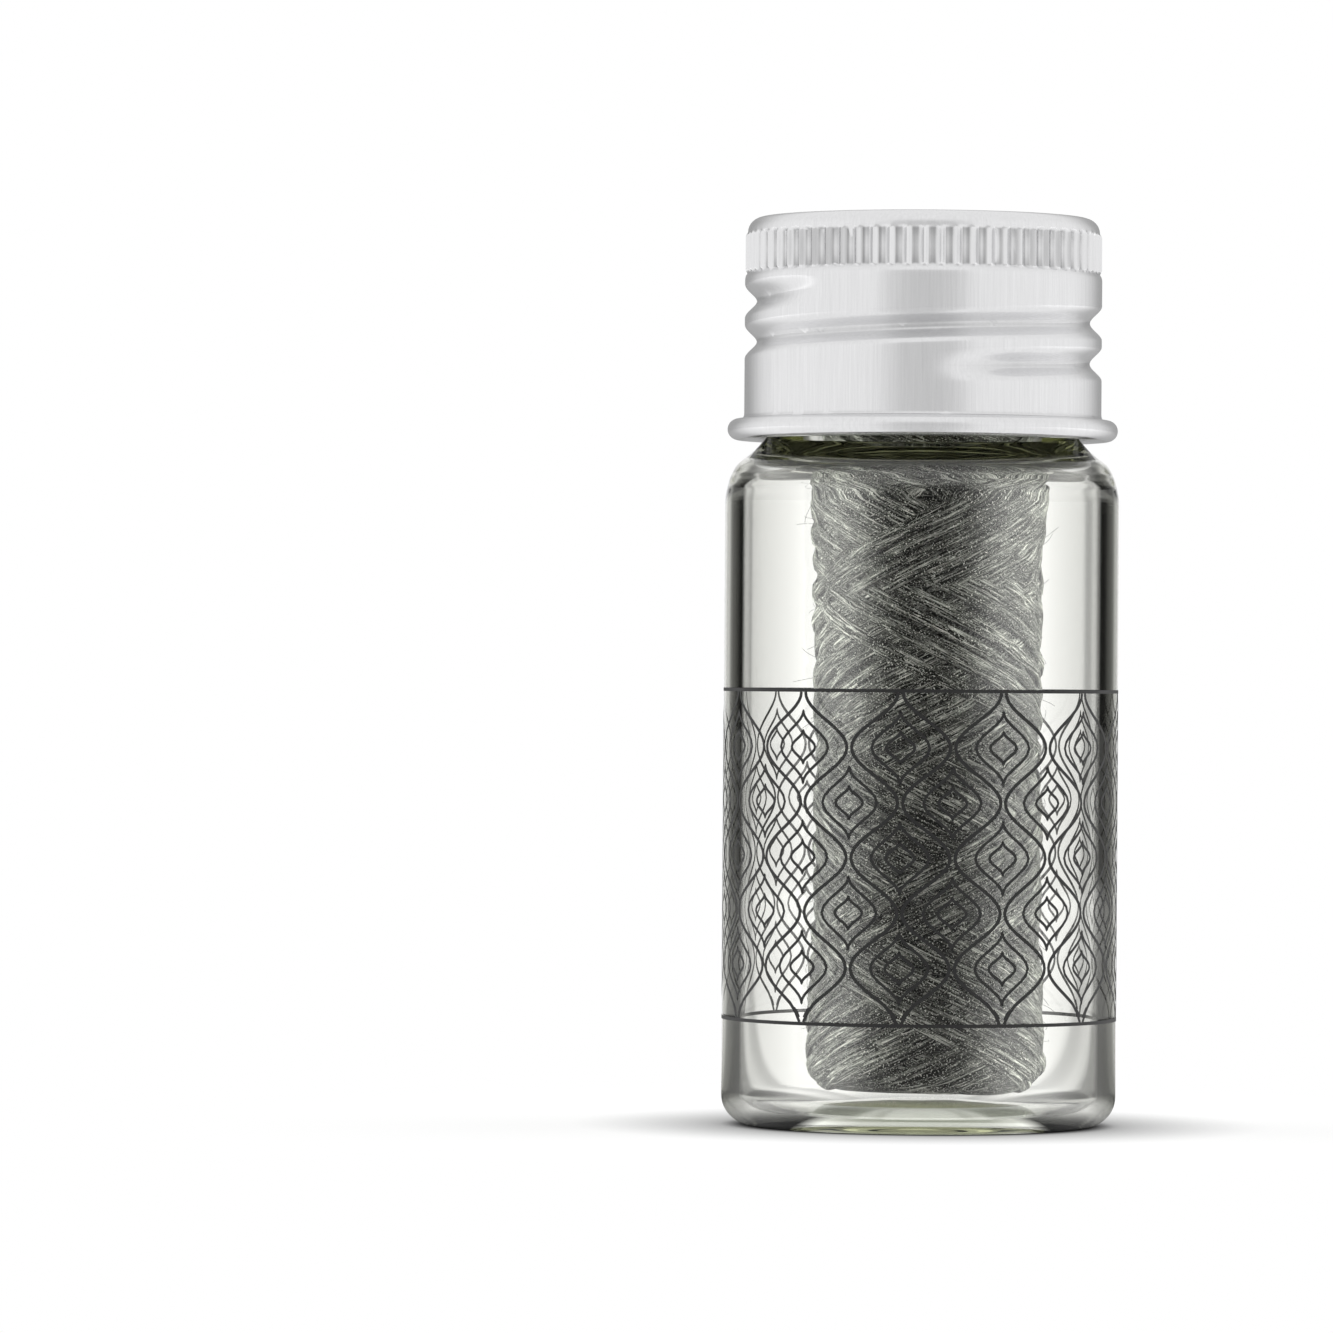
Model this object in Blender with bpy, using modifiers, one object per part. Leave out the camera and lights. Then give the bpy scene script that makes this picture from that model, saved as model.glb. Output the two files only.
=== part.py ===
"""Glass floss jar: a screw-necked jar with a rolled aluminium cap, a cross-wound spool of floss inside,
and a moulded guide plug with a small steel cutter in its neck.

Blender 4.5, metres, +Z up. The origin is the centre of the ring that the jar stands on.
"""

import math

import bmesh
import bpy
from mathutils import Vector

MM = 0.001
TURN = 2.0 * math.pi

# Fits
SEAT_GAP = 0.3 * MM           # between faces that touch on the real object
CUT_OVERRUN = 1.0 * MM        # how far a cutter runs past the face that it cuts
LEVEL_MARGIN = 0.03 * MM      # for finding vertices at a height
WELD_DISTANCE = 0.003 * MM    # vertices closer than this are one

# Glass jar
JAR_RADIUS = 15.0 * MM
JAR_HEIGHT = 66.1 * MM        # base to rim
JAR_WALL = 1.35 * MM
JAR_FLOOR = 2.0 * MM
HEEL_ROUND = 3.1 * MM
INNER_HEEL_ROUND = 2.2 * MM
FOOT_WIDTH = 2.9 * MM         # flat ring that the jar stands on
PUNT_RISE = 0.8 * MM          # how far the base is pushed up at its centre
SHOULDER_STEP = 3.2 * MM      # wall to the root of the neck's thread
NECK_WALL = 1.5 * MM
NECK_PLAIN = 5.19 * MM        # below the thread, down to the foot of the neck
SHOULDER_LENGTH = 5.3 * MM
SHOULDER_SINK = 1.2 * MM      # inner shoulder lies this far below the outer one
RIM_ROUND = 0.45 * MM
# Shoulder curve: share of the radius step still to go, share of the height reached
SHOULDER_SHARES = ((0.975, 0.12), (0.92, 0.31), (0.86, 0.44), (0.70, 0.60), (0.43, 0.73), (0.21, 0.855))

# Thread, shared by the glass neck and the rolled cap
THREAD_PITCH = 3.08 * MM
THREAD_DEPTH = 0.9 * MM       # glass thread, root to crest
THREAD_BELOW_RIM = 0.6 * MM
THREAD_TURNS = 2              # whole turns of thread rows in each sleeve
THREAD_SEAM = -0.3 * TURN     # angle where the thread starts, front left
SLEEVE_MARGIN = 0.25 * MM     # plain band above and below the thread rows
RUN_IN_TURNS = 0.10
GLASS_START_TURNS = 0.06
GLASS_END_TURNS = 1.72
ROLLED_START_TURNS = 0.04
ROLLED_END_TURNS = 1.96
# Thread section: share of the pitch from the thread's middle, share of its full depth
GLASS_SECTION_SHARES = ((-0.26, 0.0), (-0.09, 1.0), (0.09, 1.0), (0.26, 0.0))
ROLLED_SECTION_SHARES = ((-0.25, 0.0), (-0.09, 1.0), (0.09, 1.0), (0.25, 0.0))

# Guide plug
PLUG_FLANGE = 0.6 * MM
PLUG_FLANGE_INSET = 0.3 * MM  # flange edge inside the neck's outer wall
PLUG_WALL = 1.1 * MM
PLUG_LENGTH = 12.8 * MM       # skirt below the flange
PLUG_FLOOR = 0.9 * MM
PLUG_WELL = 5.8 * MM          # depth of the recess that holds the cutter
PLUG_CHAMFER = 0.4 * MM
RIB_DEPTH = 0.3 * MM
RIB_COUNT = 20
GUIDE_HOLE_RADIUS = 0.9 * MM
POST_RADIUS = 0.55 * MM
POST_RISE = 0.3 * MM          # post end above the cutter plate
POST_SPACING = 3.6 * MM
POST_INSET = 1.4 * MM         # posts from the plate's outer end

# Floss cutter, one bent strip of steel
STEEL = 0.3 * MM
CUTTER_WIDTH = 5.6 * MM
CUTTER_START_SHARE = 0.29     # of the recess's radius, from its middle
CUTTER_END_GAP = 1.9 * MM     # plate's end to the wall of the recess
HOOK_RISE = 2.6 * MM
HOOK_REACH = 1.9 * MM
HOOK_TILT = 0.35 * MM
NOTCH_WIDTH = 1.9 * MM
NOTCH_DEPTH = 1.5 * MM

# Cap
LINER_THICKNESS = 1.0 * MM
LINER_SIDE_GAP = 0.55 * MM
CAP_WALL = 0.3 * MM
CREST_CLEARANCE = 0.57 * MM   # glass crest to the inside of the skirt
ROOT_CLEARANCE = 0.55 * MM    # rolled ridge to the glass root
CAP_RIM_ROUND = 1.1 * MM
BAND_HEIGHT = 3.2 * MM
BAND_END = 0.25 * MM          # height in which the knurls fade out
BAND_INSET = 0.2 * MM         # band's middle radius inside the skirt's
KNURL_DEPTH = 0.3 * MM
KNURL_COUNT = 66
BEAD_RADIUS = 0.8 * MM        # outside of the curled edge
BEAD_PROUD = 1.26 * MM        # how far the curl stands out past the skirt
BEAD_DROP = 0.3 * MM          # curl's underside below the foot of the neck
FLARE_HEIGHT = 0.35 * MM
BEAD_ANGLES = (-150, -85, -20, 45, 110)

# Spool
SPOOL_OFFSET = 0.55 * MM      # the spool leans on the side of the jar's middle, as photographed
SPOOL_HEADROOM = 0.6 * MM     # below the plug's skirt
SPOOL_CLEARANCE = 0.95 * MM   # in the bore that it drops in through
SPOOL_BORE = 2.2 * MM
CORE_ROUND = 1.6 * MM
CORE_WAIST = 0.6 * MM         # how much slimmer the middle is
STRAND_RADIUS = 0.22 * MM
LAY_GAP = 0.46 * MM           # between the rising and the falling lay
LAY_END = 1.7 * MM            # last strand's middle to the end of the spool
WIND_CYCLES = 6               # one cycle is a rising and a falling lay
TURNS_PER_CYCLE = 4 - 1 / WIND_CYCLES
REVERSAL_TURNS = 0.055        # half the stretch in which the lay turns round
POINTS_PER_TURN = 24

# Floss end, spool bore to cutter
LEAD_RADIUS = 0.25 * MM
LEAD_TAIL = 7.0 * MM          # how far the end reaches down the spool's bore
LEAD_SLACK = 0.35             # share of the neighbours' distance that steers each bend, 0.5 is the loosest

# Facets
JAR_COLUMNS = 40
CORE_COLUMNS = 28
ARC_STEPS = 4

# Heights and radii that follow from the sizes above
NECK_RADIUS = JAR_RADIUS - SHOULDER_STEP
BORE_RADIUS = NECK_RADIUS - NECK_WALL
GLASS_THREAD_Z = JAR_HEIGHT - THREAD_BELOW_RIM - (THREAD_TURNS + GLASS_SECTION_SHARES[-1][0]) * THREAD_PITCH
ROLLED_THREAD_Z = GLASS_THREAD_Z - THREAD_PITCH / 2
NECK_FOOT_Z = GLASS_THREAD_Z + GLASS_SECTION_SHARES[0][0] * THREAD_PITCH - SLEEVE_MARGIN - NECK_PLAIN
WALL_TOP_Z = NECK_FOOT_Z - SHOULDER_LENGTH
PLUG_FLANGE_Z = JAR_HEIGHT + SEAT_GAP
PLUG_TOP_Z = PLUG_FLANGE_Z + PLUG_FLANGE
PLUG_RADIUS = BORE_RADIUS - SEAT_GAP
WELL_RADIUS = PLUG_RADIUS - PLUG_WALL
WELL_FLOOR_Z = PLUG_TOP_Z - PLUG_WELL
PLUG_FOOT_Z = PLUG_FLANGE_Z - PLUG_LENGTH
CUTTER_OUTER_X = WELL_RADIUS - CUTTER_END_GAP
CUTTER_INNER_X = WELL_RADIUS * CUTTER_START_SHARE
POST_X = CUTTER_OUTER_X - POST_INSET
LINER_Z = PLUG_TOP_Z + SEAT_GAP
CAP_INNER_TOP_Z = LINER_Z + LINER_THICKNESS + SEAT_GAP
CAP_TOP_Z = CAP_INNER_TOP_Z + CAP_WALL
CAP_FOOT_Z = NECK_FOOT_Z - BEAD_DROP
SKIRT_RADIUS = NECK_RADIUS + THREAD_DEPTH + CREST_CLEARANCE + CAP_WALL
ROLLED_DEPTH = SKIRT_RADIUS - CAP_WALL - ROOT_CLEARANCE - NECK_RADIUS
BAND_RADIUS = SKIRT_RADIUS - BAND_INSET
SPOOL_Z = JAR_FLOOR + SEAT_GAP
SPOOL_HEIGHT = PLUG_FOOT_Z - SPOOL_HEADROOM - SPOOL_Z
SPOOL_RADIUS = BORE_RADIUS - SPOOL_CLEARANCE
CORE_RADIUS = SPOOL_RADIUS - SEAT_GAP - 4 * STRAND_RADIUS - LAY_GAP


def material(name, colour, roughness, metallic=0.0, alpha=1.0):
    """One Principled material."""
    made = bpy.data.materials.new(name)
    made.use_nodes = True
    shader = made.node_tree.nodes["Principled BSDF"]
    shader.inputs["Base Color"].default_value = (*colour, 1.0)
    shader.inputs["Roughness"].default_value = roughness
    shader.inputs["Metallic"].default_value = metallic
    shader.inputs["Alpha"].default_value = alpha
    return made


def add_object(name, mesh, skin, group):
    """Object in its collection, round faces shaded smooth and real edges kept sharp."""
    made = bpy.data.objects.new(name, mesh)
    group.objects.link(made)
    if isinstance(mesh, bpy.types.Mesh):
        mesh.shade_smooth()
        mesh.set_sharp_from_angle(angle=math.radians(35))
    if skin is not None:
        mesh.materials.append(skin)
    return made


def mesh_from(name, bm):
    """Mesh datablock from a bmesh, which is freed."""
    mesh = bpy.data.meshes.new(name)
    bm.to_mesh(mesh)
    bm.free()
    return mesh


def arc(centre_r, centre_z, radius, first, last, steps=ARC_STEPS):
    """Points of an arc in the turning plane, ends included, angles in degrees."""
    points = []
    for step in range(steps + 1):
        angle = math.radians(first + (last - first) * step / steps)
        points.append((centre_r + radius * math.cos(angle), centre_z + radius * math.sin(angle)))
    return points


def turn_profile(bm, profile, columns, first_angle=0.0):
    """Turns an open profile of (radius, height) points once round the Z axis."""
    start = []
    for radius, height in profile:
        start.append(bm.verts.new((radius * math.cos(first_angle), radius * math.sin(first_angle), height)))
    edges = [bm.edges.new(pair) for pair in zip(start, start[1:])]
    bmesh.ops.spin(bm, geom=start + edges, axis=(0, 0, 1), angle=TURN, steps=columns, use_merge=True)


def weld(bm):
    """Joins the stretches of a turned body where their rings meet, and closes its poles."""
    bmesh.ops.remove_doubles(bm, verts=bm.verts, dist=WELD_DISTANCE)
    loose = [edge for edge in bm.edges if not edge.link_faces]
    bmesh.ops.delete(bm, geom=loose, context='EDGES')
    bmesh.ops.recalc_face_normals(bm, faces=bm.faces)


def turned_body(name, profile, columns, skin, group):
    """Closed turned solid from an outline that starts and ends at the axis, or closes on itself."""
    bm = bmesh.new()
    turn_profile(bm, profile, columns)
    weld(bm)
    return add_object(name, mesh_from(name, bm), skin, group)


def run_in(turns, first, last):
    """Share of the thread's depth at this many turns: it rises and fades over the run-in."""
    share = min((turns - first) / RUN_IN_TURNS, (last - turns) / RUN_IN_TURNS)
    share = max(0.0, min(1.0, share))
    return share * share * (3 - 2 * share)


def thread_sleeve(bm, radius, depth, start_z, sections, ends, columns):
    """Threaded sleeve whose rows climb with the helix, between two level rings.

    depth is positive for a raised thread and negative for a rolled groove. The rows of one turn
    carry on as the rows of the next at the seam, so the helix has no step. Returns both end heights.
    """
    rows_per_turn = len(sections)
    row_count = rows_per_turn * THREAD_TURNS

    def thread_vertex(column, row):
        whole_turns, place = divmod(row, rows_per_turn)
        offset_share, depth_share = sections[place]
        turns = whole_turns + column / columns
        height = start_z + THREAD_PITCH * (turns + offset_share)
        reach = radius + depth * depth_share * run_in(turns, *ends)
        angle = THREAD_SEAM + TURN * column / columns
        return bm.verts.new((reach * math.cos(angle), reach * math.sin(angle), height))

    bottom_z = start_z + THREAD_PITCH * sections[0][0] - SLEEVE_MARGIN
    top_z = start_z + THREAD_PITCH * (THREAD_TURNS + sections[-1][0]) + SLEEVE_MARGIN
    bottom, top, grid = [], [], []
    for column in range(columns):
        angle = THREAD_SEAM + TURN * column / columns
        level = Vector((radius * math.cos(angle), radius * math.sin(angle), 0))
        bottom.append(bm.verts.new(level + Vector((0, 0, bottom_z))))
        top.append(bm.verts.new(level + Vector((0, 0, top_z))))
        extra = rows_per_turn if column == 0 else 0
        grid.append([thread_vertex(column, row) for row in range(row_count + extra)])

    def ahead(column, row):
        """Vertex one column on, which past the seam is a turn higher in column 0."""
        if column + 1 < columns:
            return grid[column + 1][row]
        return grid[0][row + rows_per_turn]

    last = row_count - 1
    for column in range(columns):
        here = grid[column]
        for row in range(last):
            bm.faces.new((here[row], ahead(column, row), ahead(column, row + 1), here[row + 1]))
        following = (column + 1) % columns
        lower = [bottom[column], bottom[following]]
        if following == 0:
            lower += grid[0][:rows_per_turn]
        bm.faces.new(lower + [ahead(column, 0), here[0]])
        upper = [here[last], ahead(column, last), top[following], top[column]]
        if column == 0:
            upper += reversed(grid[0][row_count:])
        bm.faces.new(upper)
    return bottom_z, top_z


def shoulder(outer, inner, top_z):
    """Points of the shoulder's curve between two radii, from below upwards."""
    points = []
    for radius_share, height_share in SHOULDER_SHARES:
        points.append((inner + (outer - inner) * radius_share,
                       top_z - SHOULDER_LENGTH * (1 - height_share)))
    return points


def make_jar(skin, group):
    """Jar with a pushed-up base, a curved shoulder and a raised thread on its neck."""
    bm = bmesh.new()
    sleeve_bottom, sleeve_top = thread_sleeve(bm, NECK_RADIUS, THREAD_DEPTH, GLASS_THREAD_Z,
                                              GLASS_SECTION_SHARES, (GLASS_START_TURNS, GLASS_END_TURNS),
                                              JAR_COLUMNS)
    foot_outer = JAR_RADIUS - HEEL_ROUND
    foot_inner = foot_outer - FOOT_WIDTH
    outside = [(0, PUNT_RISE), (foot_inner / 2, PUNT_RISE * 0.75), (foot_inner, 0)]
    outside += arc(foot_outer, HEEL_ROUND, HEEL_ROUND, -90, 0)
    outside += [(JAR_RADIUS, WALL_TOP_Z)]
    outside += shoulder(JAR_RADIUS, NECK_RADIUS, NECK_FOOT_Z)
    outside += [(NECK_RADIUS, NECK_FOOT_Z), (NECK_RADIUS, sleeve_bottom)]
    turn_profile(bm, outside, JAR_COLUMNS, THREAD_SEAM)

    inner_radius = JAR_RADIUS - JAR_WALL
    inner_foot_z = NECK_FOOT_Z - SHOULDER_SINK
    rim_z = JAR_HEIGHT - RIM_ROUND
    inside = [(NECK_RADIUS, sleeve_top)]
    inside += arc(NECK_RADIUS - RIM_ROUND, rim_z, RIM_ROUND, 0, 90, steps=2)
    inside += arc(BORE_RADIUS + RIM_ROUND, rim_z, RIM_ROUND, 90, 180, steps=2)
    inside += [(BORE_RADIUS, inner_foot_z)]
    inside += reversed(shoulder(inner_radius, BORE_RADIUS, inner_foot_z))
    inside += [(inner_radius, inner_foot_z - SHOULDER_LENGTH)]
    inside += arc(inner_radius - INNER_HEEL_ROUND, JAR_FLOOR + INNER_HEEL_ROUND, INNER_HEEL_ROUND, 0, -90)
    inside += [(0, JAR_FLOOR)]
    turn_profile(bm, inside, JAR_COLUMNS, THREAD_SEAM)
    weld(bm)
    return add_object("glass_jar", mesh_from("glass_jar", bm), skin, group)


def make_cap(skin, group):
    """Cap rolled from one sheet: knurled band, rolled thread and a curled lower edge."""
    bm = bmesh.new()
    sleeve_bottom, sleeve_top = thread_sleeve(bm, SKIRT_RADIUS, -ROLLED_DEPTH, ROLLED_THREAD_Z,
                                              ROLLED_SECTION_SHARES, (ROLLED_START_TURNS, ROLLED_END_TURNS),
                                              KNURL_COUNT)
    bead_r = SKIRT_RADIUS + BEAD_PROUD - BEAD_RADIUS
    bead_z = CAP_FOOT_Z + BEAD_RADIUS
    bends = [math.radians(angle) for angle in BEAD_ANGLES]
    skirt = [(bead_r + BEAD_RADIUS * math.cos(bend), bead_z + BEAD_RADIUS * math.sin(bend)) for bend in bends]
    skirt += [(SKIRT_RADIUS, bead_z + BEAD_RADIUS + FLARE_HEIGHT), (SKIRT_RADIUS, sleeve_bottom)]
    turn_profile(bm, skirt, KNURL_COUNT, THREAD_SEAM)

    band_top = CAP_TOP_Z - CAP_RIM_ROUND
    band_bottom = band_top - BAND_HEIGHT
    knurl_low = band_bottom + BAND_END
    knurl_high = band_top - BAND_END
    crown = [(SKIRT_RADIUS, sleeve_top), (BAND_RADIUS, band_bottom), (BAND_RADIUS, knurl_low),
             (BAND_RADIUS, knurl_high)]
    crown += arc(BAND_RADIUS - CAP_RIM_ROUND, band_top, CAP_RIM_ROUND, 0, 90, steps=3)
    crown += [(0, CAP_TOP_Z)]
    turn_profile(bm, crown, KNURL_COUNT, THREAD_SEAM)
    weld(bm)

    def on_knurls(vertex):
        level = knurl_low - LEVEL_MARGIN < vertex.co.z < knurl_high + LEVEL_MARGIN
        return level and vertex.co.xy.length > BAND_RADIUS * 0.99

    around = [edge for edge in bm.edges if all(on_knurls(vertex) for vertex in edge.verts)
              and abs(edge.verts[0].co.z - edge.verts[1].co.z) < LEVEL_MARGIN]
    bmesh.ops.subdivide_edges(bm, edges=around, cuts=1, use_grid_fill=True)
    for vertex in filter(on_knurls, bm.verts):
        columns = (math.atan2(vertex.co.y, vertex.co.x) - THREAD_SEAM) / TURN * KNURL_COUNT
        side = -1 if abs(columns - round(columns)) < 0.25 else 1
        vertex.co.xy = vertex.co.xy.normalized() * (BAND_RADIUS + side * KNURL_DEPTH / 2)
    bm.faces.ensure_lookup_table()
    highest = max(bm.faces, key=lambda face: face.calc_center_median().z)
    if highest.normal.z < 0:
        bmesh.ops.reverse_faces(bm, faces=bm.faces)

    cap = add_object("screw_cap", mesh_from("screw_cap", bm), skin, group)
    sheet = cap.modifiers.new("sheet", 'SOLIDIFY')
    sheet.thickness = CAP_WALL
    sheet.offset = -1.0
    sheet.use_even_offset = True
    return cap


def make_liner(skin, group):
    """Foam disc that seals on the plug's flange."""
    radius = BAND_RADIUS - KNURL_DEPTH / 2 - CAP_WALL - LINER_SIDE_GAP
    top_z = LINER_Z + LINER_THICKNESS
    profile = [(0, LINER_Z), (radius, LINER_Z), (radius, top_z), (0, top_z)]
    return turned_body("cap_liner", profile, JAR_COLUMNS, skin, group)


def make_plug(skin, group, cutters):
    """Moulded plug: flange on the rim, ribbed skirt in the bore, recess with a guide hole and two posts."""
    flange_radius = NECK_RADIUS - PLUG_FLANGE_INSET
    rib_top, rib_foot = PLUG_FLANGE_Z - PLUG_CHAMFER, PLUG_FOOT_Z + PLUG_CHAMFER
    profile = [(GUIDE_HOLE_RADIUS, WELL_FLOOR_Z - PLUG_FLOOR), (WELL_RADIUS, WELL_FLOOR_Z - PLUG_FLOOR),
               (WELL_RADIUS, PLUG_FOOT_Z), (PLUG_RADIUS - PLUG_CHAMFER, PLUG_FOOT_Z),
               (PLUG_RADIUS, rib_foot), (PLUG_RADIUS, rib_top), (PLUG_RADIUS, PLUG_FLANGE_Z),
               (flange_radius, PLUG_FLANGE_Z), (flange_radius, PLUG_TOP_Z), (WELL_RADIUS, PLUG_TOP_Z)]
    profile += arc(WELL_RADIUS - PLUG_CHAMFER, WELL_FLOOR_Z + PLUG_CHAMFER, PLUG_CHAMFER, 0, -90, steps=2)
    profile += [(GUIDE_HOLE_RADIUS, WELL_FLOOR_Z), profile[0]]
    plug = turned_body("guide_plug", profile, RIB_COUNT * 2, skin, group)
    for vertex in plug.data.vertices:
        column = round(math.atan2(vertex.co.y, vertex.co.x) / TURN * RIB_COUNT * 2)
        on_skirt = rib_foot - LEVEL_MARGIN < vertex.co.z < rib_top + LEVEL_MARGIN
        if on_skirt and column % 2 and vertex.co.xy.length > PLUG_RADIUS - PLUG_CHAMFER:
            vertex.co.xy = vertex.co.xy.normalized() * (PLUG_RADIUS - RIB_DEPTH)
    height = SEAT_GAP + STEEL + POST_RISE + PLUG_FLOOR / 2
    for side in (-1, 1):
        centre = Vector((POST_X, side * POST_SPACING / 2, WELL_FLOOR_Z - PLUG_FLOOR / 2 + height / 2))
        post = add_rod(f"post_{'left' if side < 0 else 'right'}", POST_RADIUS, height, centre, cutters)
        boolean(plug, post, 'UNION')
    return plug


def add_rod(name, radius, length, centre, group):
    """Upright twelve-sided rod used to cut or to join."""
    bm = bmesh.new()
    bmesh.ops.create_cone(bm, cap_ends=True, segments=12, radius1=radius, radius2=radius, depth=length)
    bmesh.ops.translate(bm, verts=bm.verts, vec=centre)
    return hide(add_object(name, mesh_from(name, bm), None, group))


def hide(guide):
    """A cutter or guide shows as a wire and isn't rendered."""
    guide.hide_render = True
    guide.display_type = 'WIRE'
    return guide


def boolean(target, tool, operation):
    """One exact Boolean on the target."""
    cut = target.modifiers.new(tool.name, 'BOOLEAN')
    cut.operation = operation
    cut.solver = 'EXACT'
    cut.object = tool


def flat_outline(name, points, half_width, group):
    """Solid of a flat outline in the XZ plane, extruded to both sides along Y, as a mesh."""
    curve = bpy.data.curves.new(name, 'CURVE')
    curve.dimensions = '2D'
    curve.fill_mode = 'BOTH'
    curve.extrude = half_width
    spline = curve.splines.new('POLY')
    spline.points.add(len(points) - 1)
    for place, (x, z) in zip(spline.points, points):
        place.co = (x, z, 0, 1)
    spline.use_cyclic_u = True
    drawn = bpy.data.objects.new(name, curve)
    drawn.rotation_euler = (math.radians(90), 0, 0)
    group.objects.link(drawn)
    bpy.context.view_layer.update()
    evaluated = drawn.evaluated_get(bpy.context.evaluated_depsgraph_get())
    mesh = bpy.data.meshes.new_from_object(evaluated)
    mesh.transform(drawn.matrix_world)
    bpy.data.objects.remove(drawn)
    bm = bmesh.new()
    bm.from_mesh(mesh)
    bmesh.ops.remove_doubles(bm, verts=bm.verts, dist=WELD_DISTANCE)
    bmesh.ops.recalc_face_normals(bm, faces=bm.faces)
    bm.to_mesh(mesh)
    bm.free()
    return mesh


def strip_outline(middle, thickness):
    """Outline of a bent strip from the points along its middle, mitred at the bends."""
    left, right = [], []
    for index, point in enumerate(middle):
        here = Vector(point)
        before = (here - Vector(middle[index - 1])).normalized() if index else None
        after = (Vector(middle[index + 1]) - here).normalized() if index + 1 < len(middle) else None
        before = before or after
        after = after or before
        mitre = (before.orthogonal() + after.orthogonal()).normalized()
        reach = thickness / 2 / mitre.dot(before.orthogonal())
        left.append(here + mitre * reach)
        right.append(here - mitre * reach)
    return [tuple(point) for point in left + right[::-1]]


def make_cutter(skin, group, cutters):
    """Bent steel strip on the plug's posts, with a raised hook and a vee notch for the floss."""
    plate_z = WELL_FLOOR_Z + SEAT_GAP + STEEL / 2
    hook_z = plate_z + HOOK_RISE
    bend = STEEL
    middle = [(CUTTER_OUTER_X, plate_z), (CUTTER_INNER_X + bend, plate_z), (CUTTER_INNER_X, plate_z + bend),
              (CUTTER_INNER_X, hook_z - bend), (CUTTER_INNER_X + bend, hook_z),
              (CUTTER_INNER_X + HOOK_REACH, hook_z + HOOK_TILT)]
    mesh = flat_outline("floss_cutter", strip_outline(middle, STEEL), CUTTER_WIDTH / 2, cutters)
    cutter = add_object("floss_cutter", mesh, skin, group)
    for side in (-1, 1):
        centre = Vector((POST_X, side * POST_SPACING / 2, plate_z))
        name = f"post_hole_{'left' if side < 0 else 'right'}"
        hole = add_rod(name, POST_RADIUS + SEAT_GAP, STEEL + 2 * CUT_OVERRUN, centre, cutters)
        boolean(cutter, hole, 'DIFFERENCE')
    tip_x = CUTTER_INNER_X + HOOK_REACH
    bm = bmesh.new()
    mouth = NOTCH_WIDTH / 2 * (1 + CUT_OVERRUN / NOTCH_DEPTH)
    corners = ((tip_x - NOTCH_DEPTH, 0), (tip_x + CUT_OVERRUN, -mouth), (tip_x + CUT_OVERRUN, mouth))
    base = bm.faces.new([bm.verts.new((x, y, hook_z - CUT_OVERRUN)) for x, y in corners])
    raised = bmesh.ops.extrude_face_region(bm, geom=[base])["geom"]
    lifted = [item for item in raised if isinstance(item, bmesh.types.BMVert)]
    bmesh.ops.translate(bm, verts=lifted, vec=(0, 0, 2 * CUT_OVERRUN + HOOK_TILT))
    bmesh.ops.recalc_face_normals(bm, faces=bm.faces)
    notch = hide(add_object("notch", mesh_from("notch", bm), None, cutters))
    boolean(cutter, notch, 'DIFFERENCE')
    return cutter


def core_radius(height_share):
    """Radius of the wound core at a share of the spool's height."""
    from_middle = 2 * height_share - 1
    return CORE_RADIUS - CORE_WAIST * (1 - from_middle * from_middle)


def make_package(skin, group):
    """Core of floss under the outer lays, slimmer at its middle, open along its axis."""
    top_z = SPOOL_Z + SPOOL_HEIGHT
    profile = [(SPOOL_BORE, SPOOL_Z)]
    profile += arc(CORE_RADIUS - CORE_ROUND, SPOOL_Z + CORE_ROUND, CORE_ROUND, -90, 0, steps=3)
    for step in range(1, 8):
        height_share = step / 8
        profile.append((core_radius(height_share), SPOOL_Z + SPOOL_HEIGHT * height_share))
    profile += arc(CORE_RADIUS - CORE_ROUND, top_z - CORE_ROUND, CORE_ROUND, 0, 90, steps=3)
    profile += [(SPOOL_BORE, top_z), profile[0]]
    package = turned_body("floss_package", profile, CORE_COLUMNS, skin, group)
    package.location.x = SPOOL_OFFSET
    return package


def winding_points():
    """Middle line of the outer floss: it climbs on the inner lay and comes down on the outer one."""
    travel = SPOOL_HEIGHT - 2 * LAY_END
    half = TURNS_PER_CYCLE / 2
    step_count = round(WIND_CYCLES * TURNS_PER_CYCLE * POINTS_PER_TURN)
    points = []
    for step in range(step_count):
        turns = step / POINTS_PER_TURN
        place = (turns % TURNS_PER_CYCLE) / half
        rise_share = place if place < 1 else 2 - place
        near_end = min(rise_share, 1 - rise_share)
        reach = REVERSAL_TURNS / half
        if near_end < reach:
            eased = (near_end * near_end / reach + reach) / 2
            rise_share = eased if rise_share < 0.5 else 1 - eased
        swing = math.sin(min(1.0, near_end / reach) * math.pi / 2) / 2
        outer_share = 0.5 - swing if place < 1 else 0.5 + swing
        height_share = (LAY_END + travel * rise_share) / SPOOL_HEIGHT
        radius = core_radius(height_share) + SEAT_GAP + STRAND_RADIUS
        radius += outer_share * (2 * STRAND_RADIUS + LAY_GAP)
        angle = TURN * turns
        points.append(Vector((radius * math.cos(angle), radius * math.sin(angle),
                              SPOOL_Z + SPOOL_HEIGHT * height_share)))
    return points


def least_gap(points, radius):
    """Least gap of a tube to itself, measured on its points, neighbours along it left out."""
    skip = POINTS_PER_TURN // 3
    dense = []
    for here, there in zip(points, points[1:]):
        dense += [here, (here + there) / 2]
    nearest = min((here - there).length for index, here in enumerate(dense)
                  for there in dense[index + 2 * skip:])
    return nearest - 2 * radius


def tube(name, points, radius, resolution, skin, group):
    """Round tube along straight runs between points, capped at both ends."""
    curve = bpy.data.curves.new(name, 'CURVE')
    curve.dimensions = '3D'
    curve.bevel_depth = radius
    curve.bevel_resolution = resolution
    curve.use_fill_caps = True
    spline = curve.splines.new('POLY')
    spline.points.add(len(points) - 1)
    for place, point in zip(spline.points, points):
        place.co = (*point, 1)
    spline.use_smooth = True
    return add_object(name, curve, skin, group)


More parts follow.
